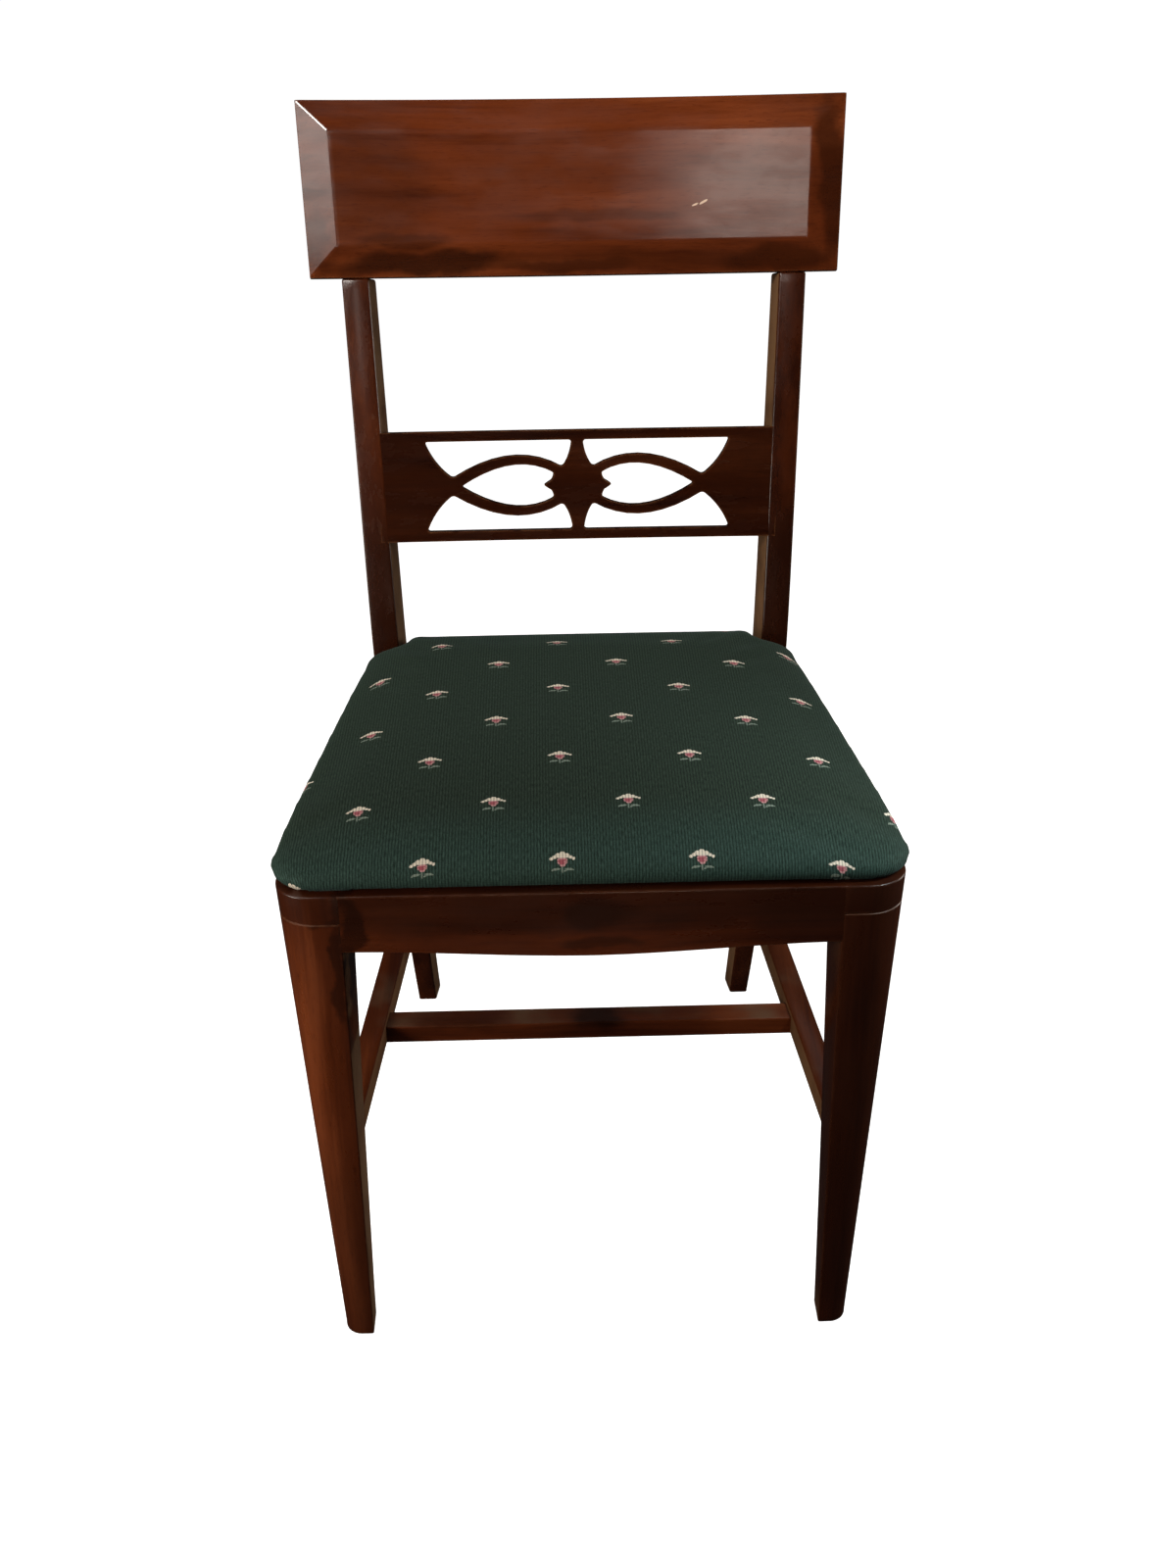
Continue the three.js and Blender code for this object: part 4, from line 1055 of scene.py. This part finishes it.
def makeFoam(name):
    material, tree, shader = startMaterial(name)
    cells = noise(tree, objectSpots(tree), 1200, 3)
    feed(tree, shader, {
        "Base Color": blend(tree, cells, (0.62, 0.54, 0.34, 1), (0.78, 0.72, 0.5, 1)), "Roughness": 0.9})
    return material


# Camera, floor and light

camera = {
    "spot": (-0.0245, -1.3056, 1.1323), "pitch": 29.8, "yaw": 1.209, "roll": -0.6,
    "lens": 39.71, "sensor": 36, "nearest": 0.01, "farthest": 50,
}
# Each lamp: place and target in metres, width and height, watts, tint, spread in degrees
lamps = {
    "crest light": ((-0.75, -1.15, 2.1), (-0.02, 0.25, 0.9), (0.5, 0.5), 1.7, (1, 0.95, 0.88), 34),
    "bevel panel": ((-1.10, -1.25, 1.58), (-0.2, 0.2, 0.86), (0.5, 0.5), 0.43, (1, 0.91, 0.85), 60),
    "post panel": ((-0.26, -0.42, 0.94), (-0.19, 0.2, 0.72), (0.06, 0.16), 0.009, (1, 0.9, 0.82), 60),
    "leg light": ((-1.1, -0.75, 0.65), (-0.45, -0.2, 0.28), (0.5, 0.5), 2.0, (1, 0.93, 0.84), 60),
    "top light": ((-0.7, -0.1, 2.2), (0, -0.05, 0.48), (0.7, 0.7), 1.0, (1, 0.98, 0.94), 70),
    "gloss panel": ((0.155, -0.42, 1.13), (0.13, 0.2, 0.85), (0.13, 0.2), 0.036, (1, 0.89, 0.81), 60),
    "side light": ((1.7, 0.15, 0.8), (-0.1, -0.1, 0.4), (0.8, 0.8), 3.8, (1, 0.95, 0.88), 90),
    "cushion light": ((0.75, -0.5, 1.4), (0.25, -0.2, 0.46), (0.15, 0.15), 0.24, (0.85, 0.97, 1), 26),
    "low light": ((0.1, -1.5, 0.3), (-0.03, -0.25, 0.41), (0.2, 0.2), 0.024, (1, 0.8, 0.62), 16),
    "back light": ((0.3, 1.7, 2.5), (0, 0.2, 0.5), (1.2, 1.2), 5, (1, 1, 1), 180),
}


def addCamera():
    bpy.ops.object.camera_add()
    eye = bpy.context.object
    turnAll = Matrix(((1, 0, 0), (0, 0, -1), (0, 1, 0)))
    for letter, angle in (("Y", -camera["yaw"]), ("X", camera["pitch"]), ("Z", camera["roll"])):
        turnAll = Matrix.Rotation(math.radians(angle), 3, letter) @ turnAll
    lookUp = turnAll.transposed() @ Matrix(((1, 0, 0), (0, -1, 0), (0, 0, -1)))
    eye.matrix_world = Matrix.Translation(camera["spot"]) @ lookUp.to_4x4()
    eye.data.sensor_fit, eye.data.sensor_height, eye.data.lens = "VERTICAL", camera["sensor"], camera["lens"]
    eye.data.clip_start, eye.data.clip_end = camera["nearest"], camera["farthest"]
    bpy.context.scene.camera = eye


def addFloor():
    bpy.ops.mesh.primitive_plane_add(size=60)
    floor = bpy.context.object
    floor.name = "floor"
    material, tree, shader = startMaterial("pale floor")
    feed(tree, shader, {"Base Color": (0.85, 0.85, 0.84, 1), "Roughness": 0.9,
                        "Emission Color": (1, 1, 1, 1), "Emission Strength": 0.95})
    floor.data.materials.append(material)
    floor.visible_glossy = floor.visible_diffuse = False


def addWorld():
    world = bpy.data.worlds.new("studio")
    bpy.context.scene.world = world
    world.use_nodes = True
    sky = world.node_tree
    fill = feed(sky, sky.nodes["Background"], {0: (1, 0.97, 0.92, 1), 1: 0.10}).outputs[0]
    wall, dark = (node(sky, "Background", {"Color": (1, 1, 1, 1), "Strength": strength}).outputs[0]
                  for strength in (0.95, 0.012))
    rays = node(sky, "LightPath").outputs
    behind = node(sky, "MixShader", {0: rays["Is Glossy Ray"], 1: fill, 2: dark}).outputs[0]
    seen = node(sky, "MixShader", {0: rays["Is Camera Ray"], 1: behind, 2: wall}).outputs[0]
    feed(sky, sky.nodes["World Output"], {0: seen})


def addLamp(name, spot, target, size, power, tint, spread):
    bpy.ops.object.light_add(type="AREA", location=spot)
    lamp = bpy.context.object
    lamp.name = name
    lamp.data.shape, lamp.data.size, lamp.data.size_y = "RECTANGLE", size[0], size[1]
    lamp.data.energy, lamp.data.color, lamp.data.spread = power, tint, math.radians(spread)
    lamp.rotation_euler = (Vector(target) - Vector(spot)).to_track_quat("-Z", "Y").to_euler()


# The chair

bpy.context.scene.view_settings.view_transform = "Standard"
addCamera()
addFloor()
addWorld()
for name, settings in lamps.items():
    addLamp(name, *settings)
print("stage set")

# Each stain or patch of painted shade: place across and up, half width, half height, amount. Each nick ends
# in a turn in degrees.
# Each band of painted shade: lowest and highest height, softness, amount.
# The last three crest entries are painted shade: the right bevel, a broad patch on the left and the whole
# lower bevel. The rest are stains.
crestStainsAndShade = [(-128, 786, 74, 11, 0.75), (-146, 804, 40, 7, 0.5), (172, 786, 46, 12, 0.6),
               (0, 781, 60, 6, 0.4), (30, 822, 70, 6, 0.35), (-215, 806, 14, 24, 0.55),
               (218, 850, 14, 70, 0.6), (-175, 845, 60, 50, 0.3), (0, 784, 210, 9, 0.3)]
crestNicks = [(103.5, 829, 3, 0.7, -22), (110.5, 831, 4, 0.9, -28)]
# tint 1.35 lightens the crest's tones: painted light
crestWood = makeMahogany("mahogany tablet", "across", tint=1.35, gloss=0.17, figure=0.7, stained=0.4,
                         shine=0.5, stainsAndShade=crestStainsAndShade, nicks=crestNicks)
# tint 0.26 darkens the cross rail's tones: painted shade
crossWood = makeMahogany("mahogany cross rail", "across", tint=0.26, gloss=0.24, shine=0.15)
# Painted shade: the band along the rail's top under the seat's overhang, the seam by the left leg and the
# right end. The two middle patches are stains.
railWood = makeMahogany("mahogany rails", "across", bands=[(412, 450, 10, 0.6)],
                        stainsAndShade=[(-179, 415, 6, 40, 0.8), (5, 424, 26, 14, 0.7), (2, 399, 34, 6, 0.6),
                                (175, 415, 60, 40, 0.4)])
# Painted shade: the block above the scribed line, the lower legs, the whole right leg and the seam along the
# left leg's inner edge.
legWood = makeMahogany("mahogany front legs", "upright", dry=0.85,
                       bands=[(418.5, 450, 1.5, 0.5), (-90, 190, 35, 0.35)],
                       stainsAndShade=[(215, 250, 60, 340, 0.6), (-184, 390, 6, 70, 0.7)])
# Painted shade: the rear legs' tones are darkened, and darker still in the band just above the seat.
postWood = makeMahogany("mahogany rear legs", "upright", tint=0.6, dry=0.8, gloss=0.24,
                        bands=[(440, 585, 45, 0.8)])
sideWood = makeMahogany("mahogany side rails", "back", tint=0.8, dry=0.7)
barWood = makeMahogany("mahogany middle stretcher", "across", tint=1.15, dusty=0.6, gloss=0.38, shine=0.15,
                       stainsAndShade=[(-120, 195, 60, 16, 0.6), (8, 195, 30, 16, 0.9)])
runnerWood = makeMahogany("mahogany side stretchers", "back", tint=0.75, dusty=0.3, dry=0.7, gloss=0.42,
                          shine=0.12)
blockWood = makePlainWood("sawn block wood", (0.22, 0.13, 0.06, 1), (0.5, 0.34, 0.18, 1))
plyWood = makePlainWood("plywood", (0.36, 0.24, 0.12, 1), (0.6, 0.44, 0.26, 1))
steel = makeSteel("plated steel")
print("materials made")

for builder, nodeName, material in (
        (buildFrontLeg, "front_leg", legWood), (buildRearLeg, "rear_leg", postWood),
        (buildSideRail, "side_seat_rail", sideWood), (buildSideStretcher, "side_stretcher", runnerWood)):
    right = builder()
    left = mirrorCopy(right, nodeName + "_left_wood")
    for piece, side in ((right, "_right"), (left, "_left")):
        smooth(piece)
        finishPiece(piece, material, "mahogany", nodeName + side)

for builder, nodeName, material, angle in (
        (buildCrest, "crest_rail", crestWood, crest["smooth"]),
        (buildCrossRail, "cross_rail", crossWood, chair["smooth"]),
        (buildFrontRail, "front_seat_rail", railWood, chair["smooth"]),
        (buildRearRail, "rear_seat_rail", railWood, chair["smooth"]),
        (buildMedialStretcher, "medial_stretcher", barWood, chair["smooth"])):
    piece = builder()
    smooth(piece, angle)
    applyModifier(piece, "WEIGHTED_NORMAL", keep_sharp=True, weight=80)
    finishPiece(piece, material, "mahogany", nodeName)

foam = buildFoam()
choose(foam)
bpy.ops.object.shade_smooth()
finishPiece(foam, makeFoam("seat foam"), "foam", "seat_padding")

cover = buildSeatCover()
openUnderside(cover)
layPattern(cover)
choose(cover)
bpy.ops.object.shade_smooth()
finishPiece(cover, makeFabric("sprigged rib weave"), "fabric", "seat_cover")


def keptFinish(name):
    if "screw" in name:
        return steel
    if name == "seat_board":
        return plyWood
    return blockWood if "block_" in name else None


for name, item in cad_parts.items():
    if keptFinish(name):
        for socket in item.material_slots:
            socket.material = keptFinish(name)
